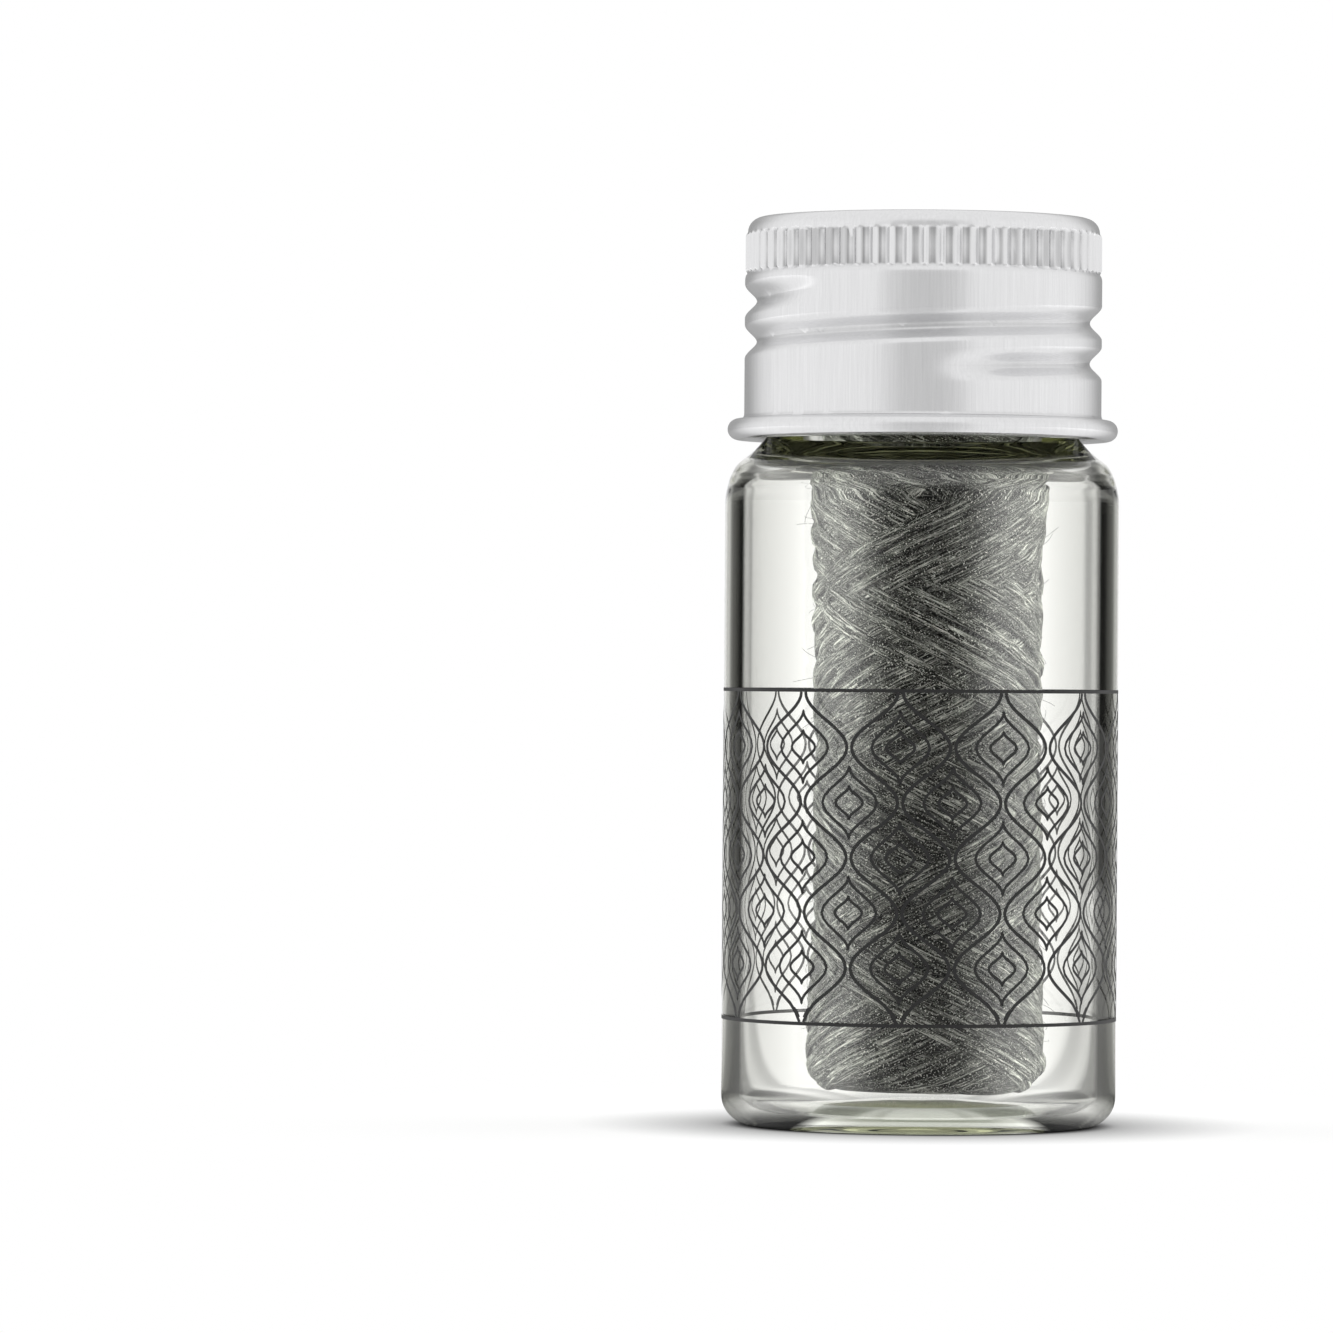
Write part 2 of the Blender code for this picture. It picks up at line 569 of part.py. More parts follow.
def make_winding(skin, group):
    """Outer lays of the spool as one unbroken strand."""
    points = winding_points()
    gap = least_gap(points, STRAND_RADIUS)
    print(f"floss_winding: least gap to itself {gap / MM:.2f} mm")
    winding = tube("floss_winding", points, STRAND_RADIUS, 1, skin, group)
    winding.location.x = SPOOL_OFFSET
    return winding


def make_lead(skin, group):
    """Loose end of the floss: out of the spool's bore, through the plug and down through the notch."""
    over_z = WELL_FLOOR_Z + SEAT_GAP + STEEL + HOOK_RISE + 2 * LEAD_RADIUS + SEAT_GAP
    notch_x = CUTTER_INNER_X + HOOK_REACH - NOTCH_DEPTH / 4
    under_z = WELL_FLOOR_Z + HOOK_RISE - STEEL
    spool_top = SPOOL_Z + SPOOL_HEIGHT
    route = [(SPOOL_OFFSET, 0, spool_top - LEAD_TAIL), (SPOOL_OFFSET / 2, 0, spool_top),
             (0, 0, WELL_FLOOR_Z - PLUG_FLOOR), (0, 0, WELL_FLOOR_Z + SEAT_GAP),
             (CUTTER_INNER_X / 4, 0, (WELL_FLOOR_Z + over_z) / 2), (CUTTER_INNER_X, 0, over_z),
             (notch_x - LEAD_RADIUS, 0, over_z), (notch_x, 0, over_z - LEAD_RADIUS * 2),
             (notch_x + LEAD_RADIUS, 0, under_z), (POST_X, 0, under_z - LEAD_RADIUS * 2),
             (CUTTER_OUTER_X, LEAD_RADIUS * 4, under_z - LEAD_RADIUS * 2)]
    places = [Vector(point) for point in route]
    smooth = []
    for index in range(len(places) - 1):
        before = places[max(index - 1, 0)]
        here, there = places[index], places[index + 1]
        after = places[min(index + 2, len(places) - 1)]
        steps = max(1, round((there - here).length / (5 * LEAD_RADIUS)))
        for step in range(steps):
            smooth.append(catmull_rom(before, here, there, after, step / steps))
    return tube("floss_lead", smooth + [places[-1]], LEAD_RADIUS, 2, skin, group)


def catmull_rom(before, here, there, after, share):
    """Point of a smooth curve through here and there, pulled a little tighter than a Catmull-Rom curve."""
    out = (there - before) * LEAD_SLACK
    into = (after - here) * LEAD_SLACK
    square, cube = share * share, share ** 3
    return (here * (2 * cube - 3 * square + 1) + out * (cube - 2 * square + share)
            + there * (3 * square - 2 * cube) + into * (cube - square))


def main():
    """Clears the scene and builds every piece."""
    for old in list(bpy.data.objects):
        bpy.data.objects.remove(old)
    dispenser = bpy.data.collections.new("floss_dispenser")
    cutters = bpy.data.collections.new("cutters")
    bpy.context.scene.collection.children.link(dispenser)
    bpy.context.scene.collection.children.link(cutters)
    glass = material("clear_glass", (0.86, 0.90, 0.84), 0.03, alpha=0.35)
    aluminium = material("rolled_aluminium", (0.78, 0.78, 0.79), 0.32, metallic=1.0)
    foam = material("liner_foam", (0.86, 0.86, 0.84), 0.8)
    plastic = material("plug_polypropylene", (0.82, 0.82, 0.80), 0.45)
    steel = material("cutter_steel", (0.62, 0.62, 0.62), 0.28, metallic=1.0)
    floss = material("charcoal_floss", (0.13, 0.135, 0.13), 0.75)
    loose_floss = material("charcoal_floss_end", (0.15, 0.155, 0.15), 0.75)
    make_jar(glass, dispenser)
    make_cap(aluminium, dispenser)
    make_liner(foam, dispenser)
    make_plug(plastic, dispenser, cutters)
    make_cutter(steel, dispenser, cutters)
    make_package(floss, dispenser)
    make_winding(floss, dispenser)
    make_lead(loose_floss, dispenser)


main()
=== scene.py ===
"""Dresses the packed floss jar for its picture.

A jar of clear soda glass with a printed band of lines, a rolled aluminium screw cap with a foam liner, a moulded
guide plug with a steel cutter, and the cross-wound cop of charcoal floss inside. Blender 4.5, metres, +Z up, in
the frame of the packed model.
"""

import math
from functools import partial

import bpy
import numpy as np
from bpy.props import FloatProperty, FloatVectorProperty, IntProperty, PointerProperty
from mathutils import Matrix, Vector


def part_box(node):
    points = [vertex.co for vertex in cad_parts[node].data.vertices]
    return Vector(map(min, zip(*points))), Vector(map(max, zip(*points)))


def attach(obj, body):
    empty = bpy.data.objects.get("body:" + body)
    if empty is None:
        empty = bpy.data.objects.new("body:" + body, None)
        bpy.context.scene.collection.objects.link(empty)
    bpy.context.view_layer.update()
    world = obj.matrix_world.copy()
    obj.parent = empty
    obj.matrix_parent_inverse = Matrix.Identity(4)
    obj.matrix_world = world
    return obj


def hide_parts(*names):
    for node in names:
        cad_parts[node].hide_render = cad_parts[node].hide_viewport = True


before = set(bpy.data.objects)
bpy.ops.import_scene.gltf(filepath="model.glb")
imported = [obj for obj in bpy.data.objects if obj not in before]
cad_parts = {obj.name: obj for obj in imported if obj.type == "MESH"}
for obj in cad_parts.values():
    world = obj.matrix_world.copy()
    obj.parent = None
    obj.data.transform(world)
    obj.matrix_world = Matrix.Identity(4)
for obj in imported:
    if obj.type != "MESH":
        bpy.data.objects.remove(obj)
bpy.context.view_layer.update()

bl_info = {
    "name": "Floss Jar",
    "version": (1, 0, 0),
    "blender": (4, 5, 0),
    "location": "3D View > Sidebar > Floss Jar",
    "description": "Glass floss jar with a rolled screw cap, dressed piece by piece",
    "category": "Object",
}

MM = 0.001
TURN = 2 * math.pi

# Slack when rows of vertices are picked by their place, and distance within which doubles are merged
HAIR = 0.01 * MM
WELD = 0.002 * MM

# Sizes that the packed model fixes
RIM_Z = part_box("glass_jar")[1].z
CAP_LOW, CAP_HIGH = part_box("screw_cap")
LINER_LOW, LINER_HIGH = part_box("cap_liner")
PLUG_LOW, PLUG_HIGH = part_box("guide_plug")
COP_LOW, COP_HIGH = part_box("floss_package")
COP_X = (COP_LOW.x + COP_HIGH.x) / 2

# Thread shared by the neck and the cap, as in the solids
THREAD_PITCH = 3.08 * MM
THREAD_SEAM = -0.3 * TURN
THREAD_TURNS = 2
RUN_IN_TURNS = 0.10
GLASS_THREAD_Z = 58.539 * MM
ROLLED_THREAD_Z = GLASS_THREAD_Z - THREAD_PITCH / 2
GLASS_RELIEF = {"start_z": GLASS_THREAD_Z, "foot": 0.26, "crest": 0.09, "ends": (0.06, 1.72)}
ROLLED_RELIEF = {"start_z": ROLLED_THREAD_Z, "foot": 0.42, "crest": 0.0, "ends": (0.04, 1.96)}

# Neck and shoulder of the glass. The curve: share of the radius step still to go, share of the height reached
NECK_STEP = 3.2 * MM
NECK_WALL = 1.5 * MM
NECK_FOOT_Z = 52.298 * MM
INNER_FOOT_Z = NECK_FOOT_Z - 1.3 * MM
SHOULDER_HEIGHT = 5.3 * MM
INNER_SHOULDER_HEIGHT = 3.2 * MM
SHOULDER_SHARES = ((1, 0), (0.9934, 0.094), (0.9734, 0.189), (0.928, 0.31), (0.856, 0.44), (0.70, 0.60),
                   (0.43, 0.73), (0.21, 0.855), (0, 1))

# Recess of the plug, and the cutter in it: a plate on two posts, an upright, and a hook that reaches back
WELL_RADIUS = 8.9 * MM
WELL_FLOOR_Z = 61.2 * MM
WELL_FLOOR = 0.9 * MM
POST_X = 5.6 * MM
POST_Y = 1.8 * MM
POST_RADIUS = 0.55 * MM
STEEL = 0.3 * MM
PLATE_LIFT = 0.3 * MM
PLATE_Z = WELL_FLOOR_Z + PLATE_LIFT + STEEL / 2
PLATE_END_X = WELL_RADIUS - 1.9 * MM
HOOK_X = WELL_RADIUS * 0.29
HOOK_RISE = 2.6 * MM
HOOK_REACH = 1.9 * MM
STRIP_WIDTH = 5.6 * MM


def linear(code):
    """Linear colour of an sRGB hex value."""
    shares = [int(code[place:place + 2], 16) / 255 for place in (1, 3, 5)]
    return tuple(share / 12.92 if share <= 0.04045 else ((share + 0.055) / 1.055) ** 2.4 for share in shares)


def length(name, description, millimetres):
    """Length property with its default in millimetres."""
    return FloatProperty(name=name, description=description, default=millimetres * MM, unit='LENGTH', precision=5)


def number(name, description, default, least):
    """Whole number property."""
    return IntProperty(name=name, description=description, default=default, min=least)


def colour(name, description, code):
    """Colour property with its default as an sRGB hex value."""
    return FloatVectorProperty(name=name, description=description, default=linear(code), subtype='COLOR',
                               min=0, max=1)


class GlassJarSettings(bpy.types.PropertyGroup):
    """Sizes and tint of the jar."""
    radius: length("Radius", "Outside of the straight wall", 14.975)
    wall: length("Wall", "Thickness of the straight wall", 1.35)
    heel: length("Heel Round", "Outer round between wall and base", 2.25)
    punt: length("Punt", "How far the base is pushed up in its middle", 0.8)
    thread_depth: length("Thread Depth", "Root to crest of the glass thread", 0.9)
    columns: number("Columns", "Facets round the jar", 256, 32)
    floor: length("Floor", "Height of the inner floor in its middle", 2.0)
    floor_edge: length("Floor Edge", "Height of the inner floor where it meets the wall's round", 1.1)
    tint: colour("Tint", "Colour that thick glass takes on", "#BEC42E")
    tint_density: FloatProperty(name="Tint Density", description="Absorption per metre of glass", default=30.0,
                                min=0)


class PrintedBandSettings(bpy.types.PropertyGroup):
    """Lines printed on the lower wall."""
    foot: length("Foot", "Height of the band's lower line", 8.3)
    top: length("Top", "Height of the band's upper line", 32.9)
    line: length("Line Width", "Width of each printed line", 0.26)
    columns: number("Columns", "Wavy lines round the jar, an even number", 24, 4)
    rows: number("Rows", "Rows of cells", 3, 1)
    ink: colour("Ink", "Colour of the fired ink", "#0C0C0C")


class ScrewCapSettings(bpy.types.PropertyGroup):
    """Sizes and finish of the rolled cap."""
    knurls: number("Knurls", "Knurls round the band", 66, 12)
    knurl_depth: length("Knurl Depth", "Crest to flat of a knurl", 0.38)
    sheet: length("Sheet", "Thickness of the aluminium", 0.3)
    metal: colour("Metal", "Colour of the drawn aluminium", "#E9E9EA")
    roughness: FloatProperty(name="Roughness", description="Roughness of the satin finish", default=0.23, min=0,
                             max=1)


class InsertSettings(bpy.types.PropertyGroup):
    """Guide plug, cutter and liner."""
    ribs: number("Ribs", "Ribs round the plug's skirt", 20, 4)
    rib_depth: length("Rib Depth", "Height of each rib", 0.3)
    plastic: colour("Plastic", "Natural polypropylene", "#DEDDD6")
    steel: colour("Steel", "Rolled stainless strip", "#B9BABB")
    foam: colour("Foam", "Foamed polyethylene of the liner", "#EEEEEA")


class FlossSettings(bpy.types.PropertyGroup):
    """Cross-wound cop of floss and its loose end."""
    cycles: number("Cycles", "Up and down passes in the outer winding", 38, 4)
    points_per_turn: number("Points per Turn", "Fineness of the strand", 64, 16)
    radius: length("Radius", "Outside of the cop at its ends", 9.3)
    waist: length("Waist", "How much slimmer the cop is half way up", 0.6)
    corner: length("Corner", "Round of the cop's edges", 2.9)
    fibres: number("Loose Fibres", "Fibres that stand off the winding", 520, 0)
    strand_width: length("Strand Width", "Width of the flattened strand", 0.95)
    strand_height: length("Strand Height", "Thickness of the flattened strand", 0.3)
    seed: IntProperty(name="Seed", description="Seed of the winding's unevenness", default=7)
    # The darkest tone is painted shade, for the gaps and low fibres of the yarn
    dark: colour("Dark Fibre", "Fibre in the gaps of the yarn", "#060706")
    middle: colour("Fibre", "Charcoal filament", "#737570")
    # The palest tone is partly wax and partly painted highlight on raised fibres
    pale: colour("Wax", "Filament that catches wax and light", "#EEEEE8")


class StageSettings(bpy.types.PropertyGroup):
    """Floor, light and camera."""
    floor: colour("Floor", "Pale floor", "#F3F3F3")
    side_power: FloatProperty(name="Side Lamps", description="Power of each side lamp in watts", default=8.0, min=0)
    distance: length("Camera Distance", "Camera to the jar's axis", 600)
    lens: FloatProperty(name="Lens", description="Focal length on a 36 mm sensor", default=213.08, min=1)
    roll: FloatProperty(name="Roll", description="Turn of the camera about its line of sight",
                        default=math.radians(-0.39), subtype='ANGLE')


def add_node(tree, kind, inputs=(), stops=(), **settings):
    """Adds a shader node with its settings.

    Inputs are values in the sockets' order, or a dictionary by their names. Each is a value, the output that feeds
    the socket, or a node that feeds it from its first output. Stops are the places in a colour ramp, each with its
    colour or its grey level.
    """
    node = tree.nodes.new("ShaderNode" + kind)
    for name, value in settings.items():
        setattr(node, name, value)
    for name, value in inputs.items() if isinstance(inputs, dict) else enumerate(inputs):
        if isinstance(value, bpy.types.Node):
            value = value.outputs[0]
        if isinstance(value, bpy.types.NodeSocket):
            tree.links.new(value, node.inputs[name])
        else:
            node.inputs[name].default_value = value
    for index, (place, shade) in enumerate(stops):
        elements = node.color_ramp.elements
        element = elements[index] if index < len(elements) else elements.new(1.0)
        element.position = place
        element.color = (*np.broadcast_to(shade, 3), 1)
    return node


def new_material(name):
    """Empty material, and the function that adds nodes to it."""
    made = bpy.data.materials.new(name)
    made.use_nodes = True
    made.node_tree.nodes.clear()
    return made, partial(add_node, made.node_tree)


# Cards round the studio: share of the half turn from behind the jar to the viewer, and brightness
METAL_CARDS = ((0.0, 0.36), (0.16, 0.40), (0.29, 0.86), (0.38, 1.0), (0.82, 1.0), (0.90, 0.72), (1.0, 0.67))
GLARE_CARDS = ((0.0, 0.45), (0.08, 0.42), (0.095, 0.28), (0.107, 0.14), (0.12, 0.08), (0.135, 0.05), (0.155, 0.035),
               (0.17, 0.01), (0.22, 0.0), (0.32, 0.02), (0.44, 0.16), (0.52, 0.4), (0.60, 1.0), (0.70, 1.0),
               (0.76, 0.8), (0.82, 0.35), (0.87, 0.1), (0.93, 0.02), (1.0, 0.01))
GLASS_CARDS = ((0.0, 1.0), (0.074, 1.0), (0.080, 0.9), (0.085, 0.6), (0.093, 0.58), (0.10, 0.65), (0.114, 0.85),
               (0.128, 0.85), (0.140, 0.5), (0.15, 0.15), (0.185, 0.05), (0.26, 0.02), (0.33, 0.95), (0.5, 1.0))
FILL_CARDS = ((0.0, 0.55), (0.25, 0.8), (0.5, 1.0), (1.0, 1.0))


def studio_cards(add, direction):
    """Brightness of the cards in a direction: in metal, as glare on glass, through glass, and as light."""
    split = add("SeparateXYZ", (direction,))
    sideways = add("Math", (split.outputs["X"],), operation='ABSOLUTE')
    azimuth = add("Math", (sideways, split.outputs["Y"]), operation='ARCTAN2')
    share = add("Math", (azimuth, math.pi), operation='DIVIDE')
    # Glass is shown against the same cards from the front and from behind
    folded = add("Math", (share, 0.5), operation='PINGPONG')
    metal, glare, glass, fill = (add("ValToRGB", (factor,), cards) for factor, cards in (
        (share, METAL_CARDS), (share, GLARE_CARDS), (folded, GLASS_CARDS), (share, FILL_CARDS)))
    # As glare on glass the brightest card counts for about two sheets of white paper
    glare = add("VectorMath", {0: glare, "Scale": 2.2}, operation='SCALE')
    # Light that runs round inside the thick glass meets the dark sides of the studio more than the bright ones
    deep = add("VectorMath", {0: glass, "Scale": 0.4}, operation='SCALE')
    path = add("LightPath")
    bounced, lighting = (add("Math", (path.outputs[depth], 1.0), operation='MINIMUM')
                         for depth in ("Glossy Depth", "Diffuse Depth"))
    trapped = add("Math", (path.outputs["Glossy Depth"], 1.0), operation='SUBTRACT', use_clamp=True)
    # A ray that only passes through the glass sees the glass cards, one that bounced once sees the glare cards
    for chosen, level in ((bounced, glare), (trapped, deep)):
        glass = add("MixRGB", (chosen, glass, level))
    shown = metal
    for chosen, level in ((path.outputs["Is Singular Ray"], glass), (lighting, fill)):
        shown = add("MixRGB", (chosen, shown, level))
    return shown, lighting


def clear_soda_glass(settings):
    """Soda glass drawn into tube and flame-worked: smooth, clear, olive only where it is thick.

    Lamps shine through it, so the floss inside is lit.
    """
    made, add = new_material("clear_soda_glass")
    glass = add("BsdfPrincipled", {
        "Base Color": (1, 1, 1, 1), "Roughness": 0.0, "IOR": 1.52, "Transmission Weight": 1.0})
    through = add("BsdfTransparent", {"Color": (0.93, 0.95, 0.92, 1)})
    shadow = add("LightPath").outputs["Is Shadow Ray"]
    mixed = add("MixShader", (shadow, glass, through))
    volume = add("VolumeAbsorption", {"Color": (*settings.tint, 1), "Density": settings.tint_density})
    add("OutputMaterial", {"Surface": mixed, "Volume": volume})
    return made


def fired_ink(settings):
    """Ceramic ink screened on the glass and fired: dense black, half matt, with faint screen grain."""
    made, add = new_material("fired_ceramic_ink")
    place = add("TexCoord").outputs["Object"]
    grain = add("TexNoise", {"Vector": place, "Scale": 1 / (0.12 * MM), "Detail": 2.0})
    rough = add("MapRange", {"Value": grain, "To Min": 0.35, "To Max": 0.6})
    ink = add("BsdfPrincipled", {"Base Color": (*settings.ink, 1), "Roughness": rough})
    add("OutputMaterial", (ink,))
    return made


def drawn_aluminium(settings):
    """Thin aluminium drawn and rolled: satin, soft reflections, faint upright draw marks, painted shade between the
    knurls.
    """
    made, add = new_material("drawn_satin_aluminium")
    place = add("TexCoord").outputs["Object"]
    # Draw marks are about 0.15 mm apart and several millimetres long, up the skirt
    stretched = add("Mapping", {
        "Vector": place, "Scale": (1 / (0.15 * MM), 1 / (0.15 * MM), 1 / (5 * MM))})
    marks = add("TexNoise", {"Vector": stretched, "Scale": 1.0, "Detail": 3.0, "Roughness": 0.6})
    cloud = add("TexNoise", {"Vector": place, "Scale": 1 / (3 * MM), "Detail": 2.0})
    shade = add("ValToRGB", (marks,), ((0.3, np.array(settings.metal) * 0.93), (0.7, settings.metal)))
    # Painted shade darkens the hollows between the knurls; the crests keep the metal's colour
    shape = add("NewGeometry").outputs["Pointiness"]
    painted_hollow_shade = add("ValToRGB", (shape,), ((0.44, 0.3), (0.48, 0.9), (0.5, 1.0)))
    shade = add("MixRGB", (1.0, shade, painted_hollow_shade), blend_type='MULTIPLY')
    spread = add("Math", (cloud, 0.08, settings.roughness - 0.04), operation='MULTIPLY_ADD')
    bump = add("Bump", {"Height": marks, "Strength": 0.25, "Distance": 0.01 * MM})
    metal = add("BsdfPrincipled", {
        "Base Color": shade, "Metallic": 1.0, "Roughness": spread, "Normal": bump})
    add("OutputMaterial", (metal,))
    return made


def liner_foam(settings):
    """Foamed polyethylene with a pressed skin: matt white, fine closed cells of about 0.3 mm."""
    made, add = new_material("foamed_polyethylene")
    place = add("TexCoord").outputs["Object"]
    cells = add("TexVoronoi", {"Vector": place, "Scale": 1 / (0.3 * MM)}).outputs["Distance"]
    shade = add("ValToRGB", (cells,), ((0.0, np.array(settings.foam) * 0.9), (0.6, settings.foam)))
    bump = add("Bump", {"Height": cells, "Strength": 0.3, "Distance": 0.03 * MM})
    foam = add("BsdfPrincipled", {"Base Color": shade, "Roughness": 0.75, "Normal": bump})
    add("OutputMaterial", (foam,))
    return made


def natural_polypropylene(settings):
    """Injection-moulded natural polypropylene: milky, slightly translucent, satin mould skin."""
    made, add = new_material("natural_polypropylene")
    place = add("TexCoord").outputs["Object"]
    flow = add("TexNoise", {"Vector": place, "Scale": 1 / (2.5 * MM), "Detail": 3.0})
    skin = add("TexNoise", {"Vector": place, "Scale": 1 / (0.1 * MM), "Detail": 1.0})
    shade = add("ValToRGB", (flow,), ((0.3, np.array(settings.plastic) * 0.92), (0.7, settings.plastic)))
    bump = add("Bump", {"Height": skin, "Strength": 0.2, "Distance": 0.01 * MM})
    plastic = add("BsdfPrincipled", {
        "Base Color": shade, "Roughness": 0.42, "IOR": 1.49, "Normal": bump, "Subsurface Weight": 0.4,
        "Subsurface Scale": 1.0 * MM, "Subsurface Radius": (1.0, 1.0, 0.9)})
    add("OutputMaterial", (plastic,))
    return made


def rolled_steel(settings):
    """Cold-rolled stainless strip, stamped and bent: fine grain along the strip."""
    made, add = new_material("rolled_stainless_strip")
    place = add("TexCoord").outputs["Object"]
    # Rolling grain of about 0.06 mm runs along X, from the plate to the hook
    stretched = add("Mapping", {
        "Vector": place, "Scale": (1 / (2 * MM), 1 / (0.06 * MM), 1 / (0.06 * MM))})
    grain = add("TexNoise", {"Vector": stretched, "Scale": 1.0, "Detail": 2.0})
    shade = add("ValToRGB", (grain,), ((0.3, np.array(settings.steel) * 0.85), (0.7, settings.steel)))
    rough = add("MapRange", {"Value": grain, "To Min": 0.2, "To Max": 0.38})
    bump = add("Bump", {"Height": grain, "Strength": 0.2, "Distance": 0.005 * MM})
    steel = add("BsdfPrincipled", {
        "Base Color": shade, "Metallic": 1.0, "Roughness": rough, "Normal": bump})
    add("OutputMaterial", (steel,))
    return made


def charcoal_floss(settings, name="waxed_charcoal_floss"):
    """Waxed multifilament yarn: a flat bundle of fine filaments with painted shade between them, and pale flecks of
    wax and painted glint.

    The UV map holds millimetres along the yarn and across it from its crest. Filaments of 0.02 mm would not show,
    so they are drawn 0.06 mm wide, as the tufts that the eye sees.
    """
    made, add = new_material(name)
    lay = add("UVMap", uv_map="lay")
    place = add("TexCoord").outputs["Object"]
    layers = []
    # Fibres, bundles of them, gaps, flecks and lays: length and width in millimetres, shift of the pattern, detail
    for long, wide, shift, detail in ((1.5, 0.06, 0.0, 4.0), (5.0, 0.14, 13.0, 3.0), (4.5, 0.12, 31.0, 3.0),
                                      (0.13, 0.10, 53.0, 1.0), (9.0, 8.0, 71.0, 1.0)):
        drawn = add("Mapping", {
            "Vector": lay, "Location": (shift, shift / 2, 0.0), "Scale": (1 / long, 1 / wide, 1.0)})
        layers.append(add("TexNoise", {
            "Vector": drawn, "Scale": 1.0, "Detail": detail, "Roughness": 0.8, "Distortion": 0.2}))
    fibres, bundles, gaps, flecks, lays = layers
    cloud = add("TexNoise", {"Vector": place, "Scale": 1 / (2.2 * MM), "Detail": 2.0})
    relief = add("Math", (fibres, bundles), operation='ADD')
    mixed = add("Math", (relief, 0.5), operation='MULTIPLY')
    # Fibre tone follows the relief: painted shade on the low fibres, painted highlight on the raised ones, round the
    # charcoal filament
    shade = add("ValToRGB", (mixed,), (
        (0.43, settings.dark), (0.49, settings.middle), (0.58, settings.pale)))
    across = add("SeparateXYZ", (lay,)).outputs["Y"]
    over = add("Math", (across,), operation='ABSOLUTE')
    # Painted shade in the gaps, clouds, a tone for each lay, and painted shade along its edges where lays meet
    for pattern, stops in ((gaps, ((0.47, 0.0), (0.51, 1.0))), (cloud, ((0.40, 0.5), (0.54, 1.0))),
                           (lays, ((0.40, 0.5), (0.56, 1.0))), (over, ((0.28, 1.0), (0.46, 0.35)))):
        layer = add("ValToRGB", (pattern,), stops)
        shade = add("MixRGB", (1.0, shade, layer), blend_type='MULTIPLY')
    # Pale flecks, partly wax and partly painted glint
    fleck = add("ValToRGB", (flecks,), ((0.59, 0.0), (0.70, 1.0)))
    wax_and_glint_flecked = add("MixRGB", (fleck, shade, (*settings.pale, 1)))
    bump = add("Bump", {"Height": relief, "Strength": 1.0, "Distance": 0.05 * MM})
    yarn = add("BsdfPrincipled", {
        "Base Color": wax_and_glint_flecked, "Roughness": 0.6, "IOR": 1.5, "Normal": bump, "Specular IOR Level": 0.2,
        "Sheen Weight": 0.1, "Sheen Roughness": 0.35, "Sheen Tint": (0.9, 0.91, 0.88, 1)})
    add("OutputMaterial", (yarn,))
    return made


# Distances from the jar's axis on the floor: where its shade gives way to white, the rim of the painted pool of light
# under the jar in front and at the sides, where the painted cards begin in reflections, and the plain middle
SHADE_FADE = (20 * MM, 60 * MM)
PAINTED_POOL_RIM = (15 * MM, 11 * MM)
CARDS_FADE = (15.5 * MM, 24 * MM)
PLAIN_MIDDLE = (4 * MM, 9 * MM)


def matt_white_floor(settings):
    """Matt white board, faint cloud in its tone; to glass and metal it glows with the cards, a painted reflection."""
    made, add = new_material("matt_white_floor")
    place = add("TexCoord").outputs["Object"]
    path = add("LightPath")
    camera = path.outputs["Is Camera Ray"]
    tone = add("TexNoise", {"Vector": place, "Scale": 6.0, "Detail": 2.0})
    shade = add("ValToRGB", (tone,), ((0.3, np.array(settings.floor) * 0.985), (0.7, settings.floor)))
    # Near the jar the floor keeps its shadow; further off it runs into the white background
    away = add("VectorMath", (place,), operation='LENGTH').outputs["Value"]
    seen = add("MapRange", (away, *SHADE_FADE, 0.8), interpolation_type='SMOOTHSTEP')
    # Close to the jar ambient occlusion paints a contact shade into the floor's colour and glow
    nearby = add("AmbientOcclusion", {"Distance": 12 * MM}, samples=16).outputs["AO"]
    painted_contact_shade = add("Math", (nearby, 1.3), operation='POWER')
    # A painted pool of light, for what the jar gathers on the floor before and behind its axis, shows through the
    # glass only
    sides = add("SeparateXYZ", (place,)).outputs["X"]
    aside = add("Math", (sides,), operation='ABSOLUTE')
    slant = add("Math", (aside, away), operation='DIVIDE')
    fading = add("MapRange", (slant, 0.5, 0.85, *PAINTED_POOL_RIM))
    under = add("Math", (fading, away), operation='SUBTRACT')
    lit = add("MapRange", {"Value": under, "From Max": 1.5 * MM})
    painted_light_pool = add("Math", (lit, camera), operation='SUBTRACT', use_clamp=True)
    painted_shade_and_pool = add("Math", (painted_contact_shade, painted_light_pool), operation='MAXIMUM')
    floor_with_painted_shade = add("MixRGB", (1.0, shade, painted_shade_and_pool), blend_type='MULTIPLY')
    matt = add("BsdfDiffuse", {"Color": floor_with_painted_shade})
    # Metal and glass see the floor glow with the cards, a painted reflection of the studio, and more plain floor
    # close to the jar
    open_floor = add("MapRange", (away, *CARDS_FADE, 0.5, 0.9), interpolation_type='SMOOTHSTEP')
    cards = studio_cards(add, place)[0]
    # The cards meet at the axis, where the floor is plain
    centre = add("MapRange", (away, *PLAIN_MIDDLE, 1.0, 0.0))
    plain = add("Math", (camera, centre), operation='MAXIMUM')
    shown = add("MixRGB", (plain, cards, (1, 1, 1, 1)))
    glow = add("Emission", {"Color": shown, "Strength": painted_shade_and_pool})
    to_camera = add("Math", (seen, camera), operation='MULTIPLY')
    mirrored = add("Math", (path.outputs["Is Glossy Ray"], path.outputs["Is Transmission Ray"]),
                   operation='MAXIMUM')
    # Rays off the satin metal see the floor's painted glow rather than its shaded face, near the jar too
    satin = add("Math", (path.outputs["Is Singular Ray"], -0.85, 0.85), operation='MULTIPLY_ADD')
    open_share = add("Math", (open_floor, satin), operation='MAXIMUM')
    share = add("Math", (mirrored, open_share, to_camera), operation='MULTIPLY_ADD')
    add("OutputMaterial", (add("MixShader", (share, matt, glow)),))
    return made


